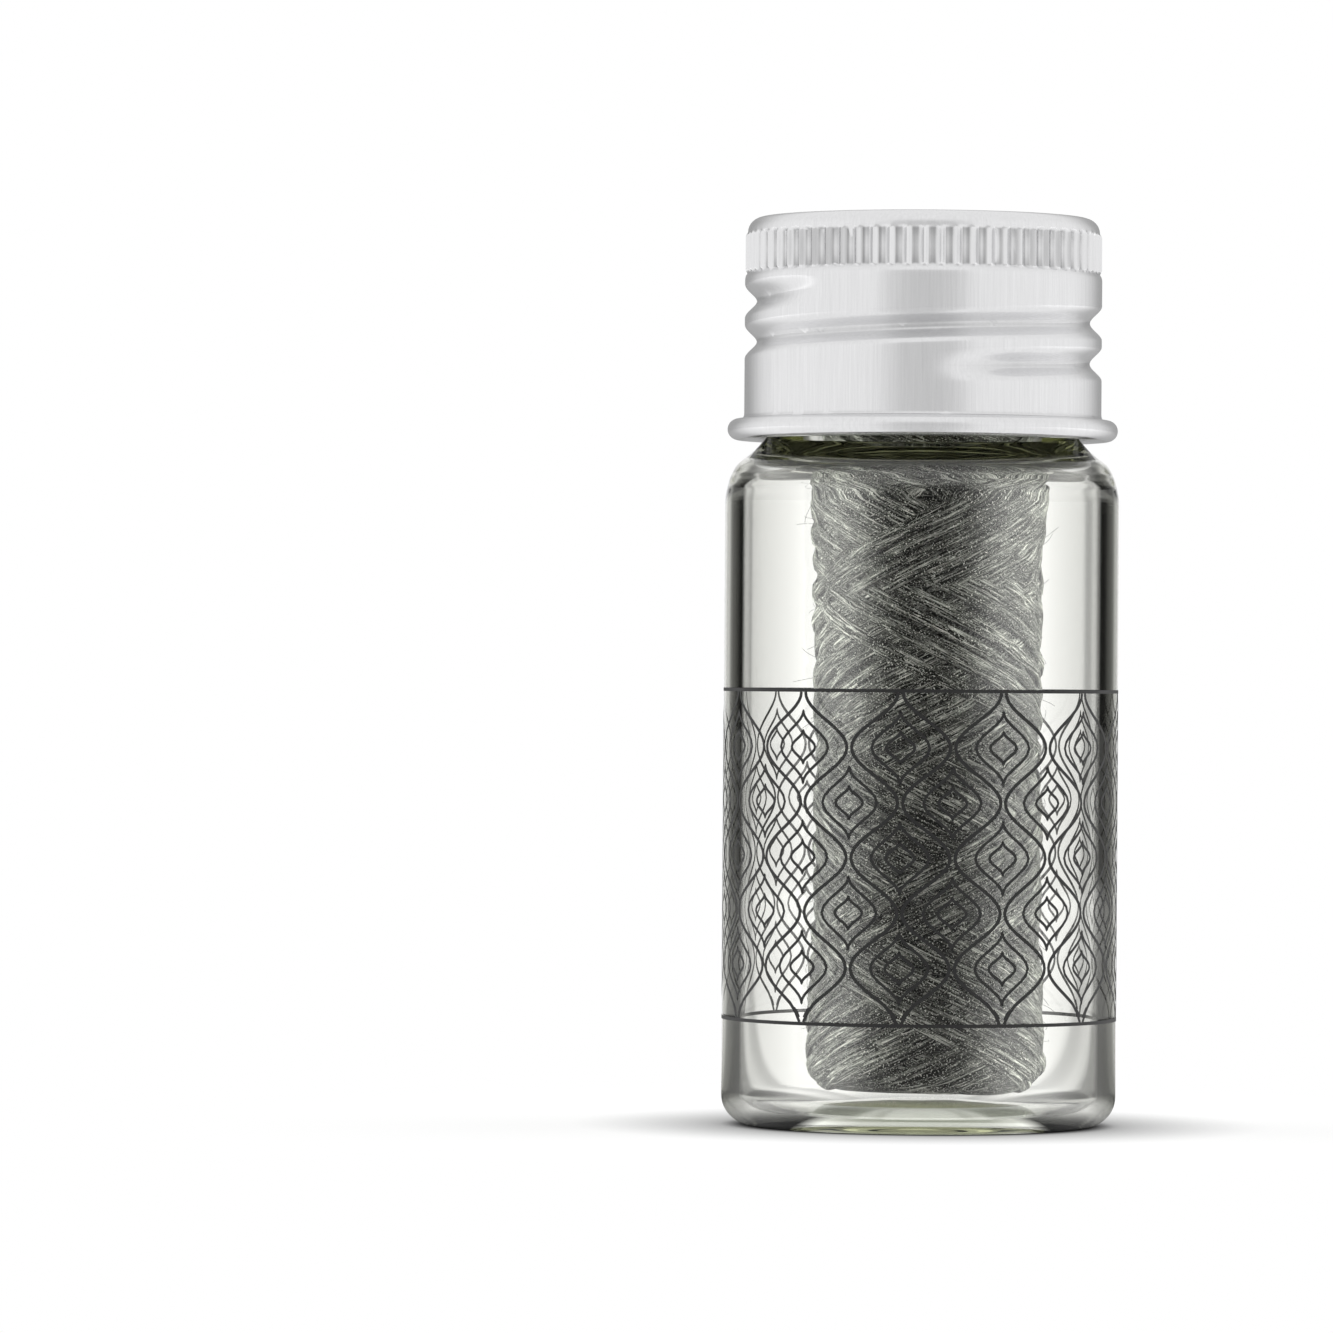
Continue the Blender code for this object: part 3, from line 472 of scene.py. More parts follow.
def set_world(scene):
    """Studio round the jar: bright and dark cards, and a pale sky. The camera itself sees plain white."""
    world = bpy.data.worlds.new("studio")
    world.use_nodes = True
    world.cycles.sampling_method = 'NONE'
    scene.world = world
    world.node_tree.nodes.clear()
    add = partial(add_node, world.node_tree)
    direction = add("TexCoord").outputs["Generated"]
    cards, lighting = studio_cards(add, direction)
    upwards = add("SeparateXYZ", (direction,)).outputs["Z"]
    height = add("MapRange", (upwards, 0.25, 0.7), interpolation_type='SMOOTHSTEP')
    pale = add("MixRGB", (lighting, (0.95, 0.95, 0.95, 1), (0.4, 0.4, 0.4, 1)))
    studio = add("Background", (add("MixRGB", (height, cards, pale)), 1.0))
    white = add("Background", ((1, 1, 1, 1), 1.0))
    camera = add("LightPath").outputs["Is Camera Ray"]
    add("OutputWorld", (add("MixShader", (camera, studio, white)),))


def choose(*pieces):
    """Selects only these pieces, the first one active."""
    bpy.ops.object.select_all(action='DESELECT')
    for piece in pieces:
        piece.select_set(True)
    bpy.context.view_layer.objects.active = pieces[0]


def draw_profile(points):
    """Draws an open outline of (radius, height) points in the XZ plane and stays in edit mode."""
    bpy.ops.object.select_all(action='DESELECT')
    bpy.ops.mesh.primitive_plane_add(size=MM)
    bpy.ops.object.mode_set(mode='EDIT')
    bpy.ops.mesh.select_all(action='SELECT')
    bpy.ops.mesh.merge(type='CENTER')
    here = Vector((points[0][0], 0, points[0][1]))
    bpy.ops.transform.translate(value=here)
    for radius, height in points[1:]:
        there = Vector((radius, 0, height))
        bpy.ops.mesh.extrude_region_move(TRANSFORM_OT_translate={"value": there - here})
        here = there
    bpy.ops.mesh.select_all(action='SELECT')


def leave_drawing(name):
    """Ends edit mode and names the piece."""
    bpy.ops.object.mode_set(mode='OBJECT')
    piece = bpy.context.object
    piece.name = piece.data.name = name
    return piece


def turn_piece(name, points, columns):
    """Turns an outline once round the Z axis, closes its seam and poles, and points its faces outwards."""
    draw_profile(points)
    bpy.ops.mesh.spin(steps=columns, angle=TURN, center=(0, 0, 0), axis=(0, 0, 1), use_auto_merge=True)
    bpy.ops.mesh.select_all(action='SELECT')
    bpy.ops.mesh.remove_doubles(threshold=WELD)
    bpy.ops.mesh.normals_make_consistent(inside=False)
    return leave_drawing(name)


def arc(centre_r, centre_z, radius, first, last, steps):
    """Points of an arc in the turning plane, ends included, angles in degrees."""
    angles = [math.radians(first + (last - first) * step / steps) for step in range(steps + 1)]
    return [(centre_r + radius * math.cos(angle), centre_z + radius * math.sin(angle)) for angle in angles]


def rows(radius, low, high, spacing):
    """Points straight up at one radius, no further apart than the spacing, without the last one."""
    count = math.ceil((high - low) / spacing)
    return [(radius, low + (high - low) * step / count) for step in range(count)]


def curve_through(padded, counts, pull):
    """Smooth curve through points, so many steps to each span. The outermost points only steer its ends."""
    run = []
    for index, count in enumerate(counts):
        before, here, there, after = padded[index:index + 4]
        share = (np.arange(count) / count)[:, None]
        out, into = (there - before) * pull, (after - here) * pull
        run.append(here * (2 * share ** 3 - 3 * share ** 2 + 1) + out * (share ** 3 - 2 * share ** 2 + share)
                   + there * (3 * share ** 2 - 2 * share ** 3) + into * (share ** 3 - share ** 2))
    return np.vstack(run + [padded[-2:-1]])


def smooth_run(points, steps=5):
    """Smooth curve through points of the turning plane."""
    places = np.array(points, float)
    padded = np.vstack([2 * places[0] - places[1], places, 2 * places[-1] - places[-2]])
    return [tuple(point) for point in curve_through(padded, [steps] * (len(places) - 1), 0.5)]


def shoulder_curve(outer, inner, low, high):
    """Smooth shoulder between two radii, from below upwards."""
    return smooth_run([(inner + (outer - inner) * radius_share, low + (high - low) * height_share)
                       for radius_share, height_share in SHOULDER_SHARES])


def unit(vectors):
    """Vectors at unit length."""
    return vectors / np.linalg.norm(vectors, axis=1)[:, None]


def distance_along(points):
    """Distance of each point from the first, along the line."""
    return np.concatenate([[0], np.cumsum(np.linalg.norm(np.diff(points, axis=0), axis=1))])


def coordinates(piece):
    """Vertex places of a piece as an array."""
    flat = np.empty(len(piece.data.vertices) * 3)
    piece.data.vertices.foreach_get("co", flat)
    return flat.reshape(-1, 3)


def place_vertices(piece, places):
    """Writes the vertex places back."""
    piece.data.vertices.foreach_set("co", places.ravel())
    piece.data.update()


def polar(places):
    """Distance from the Z axis, and angle round it."""
    return np.hypot(places[:, 0], places[:, 1]), np.arctan2(places[:, 1], places[:, 0])


def smoothstep(values):
    """Eased share between 0 and 1."""
    share = np.clip(values, 0, 1)
    return share * share * (3 - 2 * share)


def crests(angles, count, width):
    """Height of evenly spaced crests round a piece: 1 on each, 0 beyond its width as a share of the spacing."""
    share = (angles / TURN * count) % 1.0
    return smoothstep(1 - np.minimum(share, 1 - share) / width)


def thread_relief(places, start_z, foot, crest, ends):
    """Share of the thread's depth at each place: a helix with an eased section, run-in and run-out."""
    first_turn = ((polar(places)[1] - THREAD_SEAM) / TURN) % 1.0
    relief = np.zeros(len(places))
    for whole in range(-1, THREAD_TURNS + 1):
        turns = first_turn + whole
        offset = np.abs(places[:, 2] - start_z - THREAD_PITCH * turns) / THREAD_PITCH
        section = smoothstep((foot - offset) / (foot - crest))
        fade = smoothstep(np.minimum(turns - ends[0], ends[1] - turns) / RUN_IN_TURNS)
        relief = np.maximum(relief, section * fade)
    return relief


def press(piece, amount, chosen):
    """Moves the chosen vertices away from the axis by an amount each."""
    places = coordinates(piece)
    scale = np.ones(len(places))
    scale[chosen] = 1 + amount[chosen] / polar(places)[0][chosen]
    places[:, :2] *= scale[:, None]
    place_vertices(piece, places)


def apply_modifier(piece, kind, **settings):
    """Adds a modifier and applies it."""
    choose(piece)
    modifier = piece.modifiers.new(kind, kind)
    for key, value in settings.items():
        setattr(modifier, key, value)
    bpy.ops.object.modifier_apply(modifier=modifier.name)


def finish_piece(piece, body, skin, degrees=40):
    """Shades a piece, gives it its material and lets it ride on its body."""
    choose(piece)
    bpy.ops.object.shade_smooth_by_angle(angle=math.radians(degrees))
    piece.data.materials.clear()
    piece.data.materials.append(skin)
    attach(piece, body)


def join(pieces):
    """Joins pieces into the first one."""
    choose(*pieces)
    bpy.ops.object.join()
    return pieces[0]


# Lamps stand to either side, a little behind the jar, and shine on its middle
LAMP_ASIDE, LAMP_BEHIND, LAMP_HEIGHT = 0.6, 0.12, 0.14
LAMP_WIDTH, LAMP_TALL = 0.5, 0.24
LAMP_AIM = Vector((0, 0, 0.035))
FLOOR_SIZE = 6.0
CAMERA_ASIDE, CAMERA_HEIGHT = -19.35 * MM, 34.72 * MM


class FLOSSJAR_OT_stage(bpy.types.Operator):
    """Lays the pale floor, sets the lamps, the world and the camera"""
    bl_idname = "floss_jar.stage"
    bl_label = "Stage"

    def execute(self, context):
        stage = context.scene.floss_stage
        scene = context.scene
        scene.view_settings.view_transform = 'Standard'
        # Light runs round inside the thick base and shoulder of the glass before it comes out
        scene.cycles.max_bounces = 32
        scene.cycles.glossy_bounces = 24
        scene.cycles.transmission_bounces = 32

        bpy.ops.object.select_all(action='DESELECT')
        bpy.ops.mesh.primitive_plane_add(size=FLOOR_SIZE)
        floor = context.object
        floor.name = "floor"
        floor.data.materials.append(matt_white_floor(stage))
        set_world(scene)

        for name, side, strength in (("lamp_left", -1, 0.94), ("lamp_right", 1, 1.06)):
            lamp = bpy.data.lights.new(name, 'AREA')
            lamp.shape = 'RECTANGLE'
            lamp.size, lamp.size_y = LAMP_WIDTH, LAMP_TALL
            lamp.energy = stage.side_power * strength
            holder = bpy.data.objects.new(name, lamp)
            holder.location = (side * LAMP_ASIDE, LAMP_BEHIND, LAMP_HEIGHT)
            aim = LAMP_AIM - holder.location
            holder.rotation_euler = aim.to_track_quat('-Z', 'Y').to_euler()
            holder.visible_camera = holder.visible_glossy = holder.visible_transmission = False
            scene.collection.objects.link(holder)

        camera = bpy.data.cameras.new("camera")
        camera.sensor_width = 36
        camera.lens = stage.lens
        camera.clip_start, camera.clip_end = 0.01, 20
        holder = bpy.data.objects.new("camera", camera)
        holder.location = (CAMERA_ASIDE, -stage.distance, CAMERA_HEIGHT)
        holder.rotation_euler = (math.pi / 2, stage.roll, 0)
        scene.collection.objects.link(holder)
        scene.camera = holder
        return {'FINISHED'}


class FLOSSJAR_OT_glass_jar(bpy.types.Operator):
    """Turns the jar, raises the thread on its neck and makes it clear glass"""
    bl_idname = "floss_jar.glass_jar"
    bl_label = "Glass Jar"

    def execute(self, context):
        jar = context.scene.floss_glass_jar
        neck, inner = jar.radius - NECK_STEP, jar.radius - jar.wall
        bore = neck - NECK_WALL
        shoulder_z, inner_shoulder_z = NECK_FOOT_Z - SHOULDER_HEIGHT, INNER_FOOT_Z - INNER_SHOULDER_HEIGHT
        rim_round, inner_heel = 0.45 * MM, 1.25 * MM
        standing_ring = 1.4 * MM
        foot = jar.radius - jar.heel - standing_ring
        thread_low, thread_high = GLASS_THREAD_Z - 1.05 * MM, RIM_Z - 0.5 * MM

        outside = smooth_run([(0, jar.punt), (foot * 0.3, jar.punt * 0.95), (foot * 0.7, jar.punt * 0.55),
                              (foot * 0.93, jar.punt * 0.09), (foot, 0)])
        outside += arc(jar.radius - jar.heel, jar.heel, jar.heel, -90, 0, 14)
        # Rows close to the end of each curve keep the straight wall between them truly straight
        close, far, thread_rows = 0.2 * MM, 1.0 * MM, 0.12 * MM
        outside += rows(jar.radius, jar.heel + close, shoulder_z - far, 9 * MM)
        outside += [(jar.radius, shoulder_z - far)]
        outside += shoulder_curve(jar.radius, neck, shoulder_z, NECK_FOOT_Z)
        outside += rows(neck, NECK_FOOT_Z + close, thread_low, 2 * MM)
        outside += rows(neck, thread_low, thread_high, thread_rows)
        outside += arc(neck - rim_round, RIM_Z - rim_round, rim_round, 0, 90, 6)
        inside = arc(bore + rim_round, RIM_Z - rim_round, rim_round, 90, 180, 6)
        inside += [(bore, RIM_Z - rim_round - close), (bore, INNER_FOOT_Z + close)]
        inside += reversed(shoulder_curve(inner, bore, inner_shoulder_z, INNER_FOOT_Z))
        inside += [(inner, inner_shoulder_z - far), (inner, jar.floor_edge + inner_heel + close)]
        inside += arc(inner - inner_heel, jar.floor_edge + inner_heel, inner_heel, 0, -90, 12)
        dome = jar.floor - jar.floor_edge
        inside += smooth_run([((inner - inner_heel) * radius_share, jar.floor_edge + dome * height_share)
                              for radius_share, height_share in ((1, 0), (0.85, 0.15), (0.55, 0.6), (0.25, 0.95),
                                                                 (0, 1))])[1:]
        piece = turn_piece("jar_glass", outside + inside, jar.columns)

        places = coordinates(piece)
        threaded = (polar(places)[0] > neck - HAIR) & (places[:, 2] > thread_low - HAIR)
        press(piece, jar.thread_depth * thread_relief(places, **GLASS_RELIEF), threaded)
        finish_piece(piece, "jar", clear_soda_glass(jar))
        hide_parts("glass_jar")
        return {'FINISHED'}


def ribbon(name, line, width, closed=False):
    """Flat ribbon along an open or closed line in the XZ plane, its two rows of vertices to either side."""
    if closed:
        bpy.ops.object.select_all(action='DESELECT')
        bpy.ops.mesh.primitive_circle_add(vertices=len(line), radius=MM)
        bpy.ops.object.mode_set(mode='EDIT')
        bpy.ops.mesh.select_all(action='SELECT')
    else:
        draw_profile(line)
    bpy.ops.mesh.extrude_region_move(TRANSFORM_OT_translate={"value": (0, 0, width) if closed else (width, 0, 0)})
    piece = leave_drawing(name)
    line = np.array(line)
    if closed:
        ahead, behind = np.roll(line, -1, 0), np.roll(line, 1, 0)
    else:
        ahead, behind = np.vstack([line[1:], line[-1:]]), np.vstack([line[:1], line[:-1]])
    run = unit(ahead - behind)
    side = np.stack([run[:, 1], -run[:, 0]], 1) * width / 2
    flat = np.vstack([line - side, line + side])
    place_vertices(piece, np.stack([flat[:, 0], np.zeros(len(flat)), flat[:, 1]], 1))
    return piece


def copy_shifted(source, shift_x, shift_z, mirror=1):
    """Copy with its own mesh, moved in the flat."""
    made = source.copy()
    made.data = source.data.copy()
    bpy.context.scene.collection.objects.link(made)
    places = coordinates(made)
    places[:, 0] = places[:, 0] * mirror + shift_x
    places[:, 2] += shift_z
    place_vertices(made, places)
    return made


class FLOSSJAR_OT_printed_band(bpy.types.Operator):
    """Prints a plain trellis of wavy lines round the lower wall"""
    bl_idname = "floss_jar.printed_band"
    bl_label = "Printed Band"

    def execute(self, context):
        band = context.scene.floss_printed_band
        stand_off, gap, film = 0.02 * MM, 0.12 * MM, 0.015 * MM
        radius = context.scene.floss_glass_jar.radius + stand_off
        spacing = TURN * radius / band.columns
        period = (band.top - band.foot) / band.rows
        swing = (spacing - band.line - gap) / 2

        heights = np.linspace(band.foot, band.top, 24 * band.rows + 1)
        wave = swing * np.cos(TURN * (heights - band.foot) / period)
        patterns = [ribbon("wave", list(zip(wave, heights)), band.line)]
        drawn = [copy_shifted(patterns[0], spacing * column, 0, 1 if column % 2 else -1)
                 for column in range(band.columns)]

        turns = np.arange(36) / 36 * TURN
        tall = np.cos(turns)
        lens = np.sign(np.sin(turns)) * (1 + np.cos(math.pi * tall)) / 2
        for share, wide in ((0.66, 3.3 * MM), (0.3, 3.6 * MM)):
            cell = ribbon("cell", list(zip(lens * wide * share, tall * period / 2 * share)), band.line * 0.85, True)
            patterns.append(cell)
            for column in range(band.columns):
                for row in range(band.rows):
                    middle = band.foot + period * (row + (0.5 if column % 2 else 0.0))
                    if middle > band.foot:
                        drawn.append(copy_shifted(cell, spacing * (column + 0.5), middle))
        for pattern in patterns:
            bpy.data.objects.remove(pattern)

        around = np.linspace(0, TURN * radius, 289)
        for height in (band.foot - band.line / 2, band.top + band.line / 2):
            drawn.append(ribbon("edge_line", [(place, height) for place in around], band.line))
        piece = join(drawn)
        piece.name = "printed_band"

        flat = coordinates(piece)
        angles = flat[:, 0] / radius - math.pi / 2
        place_vertices(piece, np.stack([radius * np.cos(angles), radius * np.sin(angles), flat[:, 2]], 1))
        bpy.ops.object.mode_set(mode='EDIT')
        bpy.ops.mesh.select_all(action='SELECT')
        bpy.ops.mesh.remove_doubles(threshold=WELD)
        bpy.ops.object.mode_set(mode='OBJECT')
        inward = [face for face in piece.data.polygons
                  if face.normal.dot(Vector((face.center.x, face.center.y, 0))) < 0]
        for face in inward:
            face.flip()
        apply_modifier(piece, 'SOLIDIFY', thickness=film, offset=-1.0)
        finish_piece(piece, "jar", fired_ink(band))
        return {'FINISHED'}


class FLOSSJAR_OT_screw_cap(bpy.types.Operator):
    """Rolls the cap from one sheet: curled edge, thread, knurled band and crown"""
    bl_idname = "floss_jar.screw_cap"
    bl_label = "Screw Cap"

    def execute(self, context):
        cap = context.scene.floss_screw_cap
        skirt, rolled_depth = 13.57 * MM, 0.92 * MM
        curl, curl_r, curl_z = 0.8 * MM, 14.03 * MM, CAP_LOW.z + 0.8 * MM
        curl_end = curl_z + 1.3 * MM
        crown_round, fade = 1.1 * MM, 0.35 * MM
        band, band_top = skirt - 0.2 * MM, CAP_HIGH.z - crown_round
        band_low = band_top - 3.2 * MM
        thread_low, thread_high = ROLLED_THREAD_Z - 1.0 * MM, ROLLED_THREAD_Z + 2.3 * THREAD_PITCH

        outline = arc(curl_r, curl_z, curl, -150, 100, 18)
        outline += smooth_run([(13.72 * MM, curl_z + 0.84 * MM), (13.6 * MM, curl_z + 1.0 * MM),
                               (skirt, curl_end)], 3)
        outline += rows(skirt, curl_end, thread_low, 0.6 * MM)[1:]
        outline += rows(skirt, thread_low, thread_high, 0.14 * MM)
        outline += [(skirt, thread_high), (skirt - 0.01 * MM, band_low - 0.3 * MM),
                    (skirt - 0.06 * MM, band_low - 0.12 * MM), (band + 0.05 * MM, band_low)]
        outline += rows(band, band_low + 0.12 * MM, band_low + fade, 0.08 * MM)
        outline += rows(band, band_low + fade, band_top - fade, 0.7 * MM)
        outline += rows(band, band_top - fade, band_top, 0.09 * MM)
        outline += arc(band - crown_round, band_top, crown_round, 0, 90, 8)
        outline += [(11.6 * MM, CAP_HIGH.z), (6 * MM, CAP_HIGH.z), (0, CAP_HIGH.z)]
        piece = turn_piece("cap_shell", outline, cap.knurls * 6)
        crown = max(piece.data.polygons, key=lambda face: face.center.z)
        if crown.normal.z < 0:
            for face in piece.data.polygons:
                face.flip()

        places = coordinates(piece)
        radii, angles = polar(places)
        height = places[:, 2]
        threaded = (height > thread_low - HAIR) & (height < thread_high + HAIR)
        press(piece, -rolled_depth * thread_relief(places, **ROLLED_RELIEF), threaded)
        knurls = crests(angles - THREAD_SEAM, cap.knurls, 0.3) - 0.5
        ends = smoothstep(np.minimum(height - band_low, band_top - height) / fade)
        knurled = (height > band_low + HAIR) & (height < band_top) & (radii > band - 0.5 * MM)
        press(piece, cap.knurl_depth * knurls * ends, knurled)
        apply_modifier(piece, 'SOLIDIFY', thickness=cap.sheet, offset=-1.0, use_even_offset=True)
        finish_piece(piece, "cap", drawn_aluminium(cap), 50)
        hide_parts("screw_cap")
        return {'FINISHED'}


class FLOSSJAR_OT_liner(bpy.types.Operator):
    """Cuts the foam liner that seals under the cap's crown"""
    bl_idname = "floss_jar.liner"
    bl_label = "Cap Liner"

    def execute(self, context):
        edge, dent = 0.15 * MM, 0.06 * MM
        radius, low, high = LINER_HIGH.x - 0.02 * MM, LINER_LOW.z, LINER_HIGH.z
        # The jar's rim has pressed a shallow ring into the foam
        outline = [(0, low), (9.3 * MM, low), (9.7 * MM, low + dent), (11.3 * MM, low + dent), (11.6 * MM, low)]
        outline += arc(radius - edge, low + edge, edge, -90, 0, 4)
        outline += arc(radius - edge, high - edge, edge, 0, 90, 4)
        outline += [(0, high)]
        piece = turn_piece("liner_disc", outline, 128)
        finish_piece(piece, "liner", liner_foam(context.scene.floss_insert), 30)
        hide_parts("cap_liner")
        return {'FINISHED'}


class FLOSSJAR_OT_guide_plug(bpy.types.Operator):
    """Moulds the plug: flange, ribbed skirt, recess with a guide hole and two staked posts"""
    bl_idname = "floss_jar.guide_plug"
    bl_label = "Guide Plug"

    def execute(self, context):
        insert = context.scene.floss_insert
        flange, flange_top, flange_low = PLUG_HIGH.x - 0.02 * MM, PLUG_HIGH.z, PLUG_HIGH.z - 0.6 * MM
        skirt, foot_z = 10.0 * MM, PLUG_LOW.z
        floor_low = WELL_FLOOR_Z - WELL_FLOOR
        hole, small, well_round = 0.9 * MM, 0.15 * MM, 0.4 * MM
        outline = arc(hole + small, floor_low + small, small, 180, 270, 3)
        outline += arc(WELL_RADIUS - small, floor_low - small, small, 90, 0, 3)
        outline += [(WELL_RADIUS, foot_z + small)]
        outline += arc(WELL_RADIUS + small, foot_z + small, small, 180, 270, 3)
        outline += [(skirt - 0.4 * MM, foot_z), (skirt, foot_z + 0.4 * MM)]
        outline += rows(skirt, foot_z + 0.7 * MM, flange_low - 0.7 * MM, 2.5 * MM)
        outline += [(skirt, flange_low - 0.7 * MM), (skirt, flange_low - 0.3 * MM), (skirt + small, flange_low)]
        outline += arc(flange - small, flange_low + small, small, -90, 0, 3)
        outline += arc(flange - small, flange_top - small, small, 0, 90, 3)
        outline += arc(WELL_RADIUS + small, flange_top - small, small, 90, 180, 3)
        outline += arc(WELL_RADIUS - well_round, WELL_FLOOR_Z + well_round, well_round, 0, -90, 5)
        outline += arc(hole + small, WELL_FLOOR_Z - small, small, 90, 180, 3)
        outline += [outline[0]]
        plug = turn_piece("plug_moulding", outline, insert.ribs * 12)

        places = coordinates(plug)
        radii, angles = polar(places)
        ribbed = (radii > skirt - HAIR) & (radii < skirt + 0.05 * MM) & (places[:, 2] < flange_low - 0.5 * MM)
        press(plug, -insert.rib_depth * (1 - crests(angles, insert.ribs, 0.26)), ribbed)

        # Each post is staked over the cutter with a domed head
        shaft_low, shaft_top = WELL_FLOOR_Z - 0.3 * MM, PLATE_Z + STEEL / 2 + 0.04 * MM
        outline = [(0, shaft_low), (POST_RADIUS, shaft_low), (POST_RADIUS, shaft_top),
                   (POST_RADIUS + 0.34 * MM, shaft_top)]
        outline += arc(0, shaft_top - 0.62 * MM, 1.08 * MM, 42, 90, 6)
        posts = []
        for side in (-1, 1):
            post = turn_piece("post", outline, 32)
            place_vertices(post, coordinates(post) + (POST_X, side * POST_Y, 0))
            posts.append(post)
        piece = join([plug] + posts)
        finish_piece(piece, "jar", natural_polypropylene(insert))
        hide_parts("guide_plug")
        return {'FINISHED'}


def strip_line():
    """Middle line of the cutter in the XZ plane: plate, upright and hook, with rounded bends."""
    bend = 0.45 * MM
    hook_z = PLATE_Z + HOOK_RISE
    line = [(PLATE_END_X, PLATE_Z)]
    line += arc(HOOK_X + bend, PLATE_Z + bend, bend, 270, 180, 6)
    line += arc(HOOK_X + bend, hook_z - bend, bend, 180, 96, 6)
    line += [(HOOK_X + HOOK_REACH, hook_z + 0.33 * MM)]
    return np.array(line)


class FLOSSJAR_OT_cutter(bpy.types.Operator):
    """Bends the steel cutter and cuts its post holes and notch"""
    bl_idname = "floss_jar.cutter"
    bl_label = "Floss Cutter"

    def execute(self, context):
        line = strip_line()
        run = unit(np.gradient(line, axis=0))
        side = np.stack([run[:, 1], -run[:, 0]], 1) * STEEL / 2
        draw_profile([tuple(point) for point in np.vstack([line - side, (line + side)[::-1]])])
        bpy.ops.mesh.edge_face_add()
        bpy.ops.transform.translate(value=(0, -STRIP_WIDTH / 2, 0))
        bpy.ops.mesh.extrude_region_move(TRANSFORM_OT_translate={"value": (0, STRIP_WIDTH, 0)})
        bpy.ops.mesh.select_all(action='SELECT')
        bpy.ops.mesh.normals_make_consistent(inside=False)
        piece = leave_drawing("cutter_strip")

        # Two post holes, and the notch: a three-sided prism that points into the hook
        deep, reach, clear = 1.5 * MM, 1.33 * MM, 0.15 * MM
        notch = (HOOK_X + HOOK_REACH - deep + reach, 0, PLATE_Z + HOOK_RISE + 0.3 * MM)
        for sides, radius, place in ((32, POST_RADIUS + clear, (POST_X, -POST_Y, PLATE_Z)),
                                     (32, POST_RADIUS + clear, (POST_X, POST_Y, PLATE_Z)), (3, reach, notch)):
            bpy.ops.object.select_all(action='DESELECT')
            bpy.ops.mesh.primitive_cylinder_add(vertices=sides, radius=radius, depth=2 * MM, location=place,
                                                rotation=(0, 0, TURN / 4 if sides == 3 else 0))
            tool = context.object
            apply_modifier(piece, 'BOOLEAN', operation='DIFFERENCE', solver='EXACT', object=tool)
            bpy.data.objects.remove(tool)
        apply_modifier(piece, 'BEVEL', width=0.05 * MM, segments=2, limit_method='ANGLE',
                       angle_limit=math.radians(50))
        finish_piece(piece, "jar", rolled_steel(context.scene.floss_insert), 30)
        apply_modifier(piece, 'WEIGHTED_NORMAL', keep_sharp=True, weight=100)
        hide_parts("floss_cutter")
        return {'FINISHED'}


def cop_meridian(floss, inset):
    """Points of the cop's outline from its lower end face to its upper one, set in from the outside."""
    low, high = COP_LOW.z + inset, COP_HIGH.z - inset
    radius, corner = floss.radius - inset, floss.corner - inset
    outline = arc(radius - corner, low + corner, corner, -80, 0, 12)
    outline += [(radius, low + corner + (high - low - 2 * corner) * step / 40) for step in range(1, 40)]
    outline += arc(radius - corner, high - corner, corner, 0, 80, 12)
    outline = np.array(outline)
    share = (outline[:, 1] - low) / (high - low)
    outline[:, 0] -= floss.waist * (1 - (2 * share - 1) ** 2)
    return outline


def lay_mesh(name, middles, across, outward, width, height, sides=8):
    """Mesh of a strand with an oval section, its UV map in millimetres along and across."""
    turns = np.arange(sides) / sides * TURN
    wide, tall = (np.sign(swing) * np.abs(swing) ** 0.85 for swing in (np.cos(turns), np.sin(turns)))
    rings = (middles[:, None] + across[:, None] * (wide * width[:, None] / 2)[..., None]
             + outward[:, None] * (tall * height[:, None] / 2)[..., None])
    count = len(middles)
    ring, side = np.meshgrid(np.arange(count - 1), np.arange(sides), indexing='ij')
    ahead = (side + 1) % sides
    quads = np.stack([ring * sides + side, ring * sides + ahead, (ring + 1) * sides + ahead,
                      (ring + 1) * sides + side], -1).reshape(-1, 4)
    mesh = bpy.data.meshes.new(name)
    ends = [tuple(range(sides - 1, -1, -1)), tuple(range((count - 1) * sides, count * sides))]
    mesh.from_pydata(rings.reshape(-1, 3).tolist(), [], quads.tolist() + ends)
    run = distance_along(middles) / MM
    around = width.mean() / MM * 2 / sides
    values = np.zeros((len(mesh.loops), 2))
    values[:quads.size, 0] = np.stack([run[ring], run[ring], run[ring + 1], run[ring + 1]], -1).ravel()
    values[:quads.size, 1] = (np.stack([side, side + 1, side + 1, side], -1).ravel() - sides // 4) * around
    mesh.uv_layers.new(name="lay").data.foreach_set("uv", values.ravel())
    mesh.update()
    mesh.validate()
    piece = bpy.data.objects.new(name, mesh)
    bpy.context.scene.collection.objects.link(piece)
    return piece


def wander(random, turns, spacing):
    """Random values from -1 to 1 along the winding, a new one every so many turns."""
    knots = np.arange(0, turns[-1] + 2, spacing)
    return np.interp(turns, knots, random.uniform(-1, 1, len(knots)))


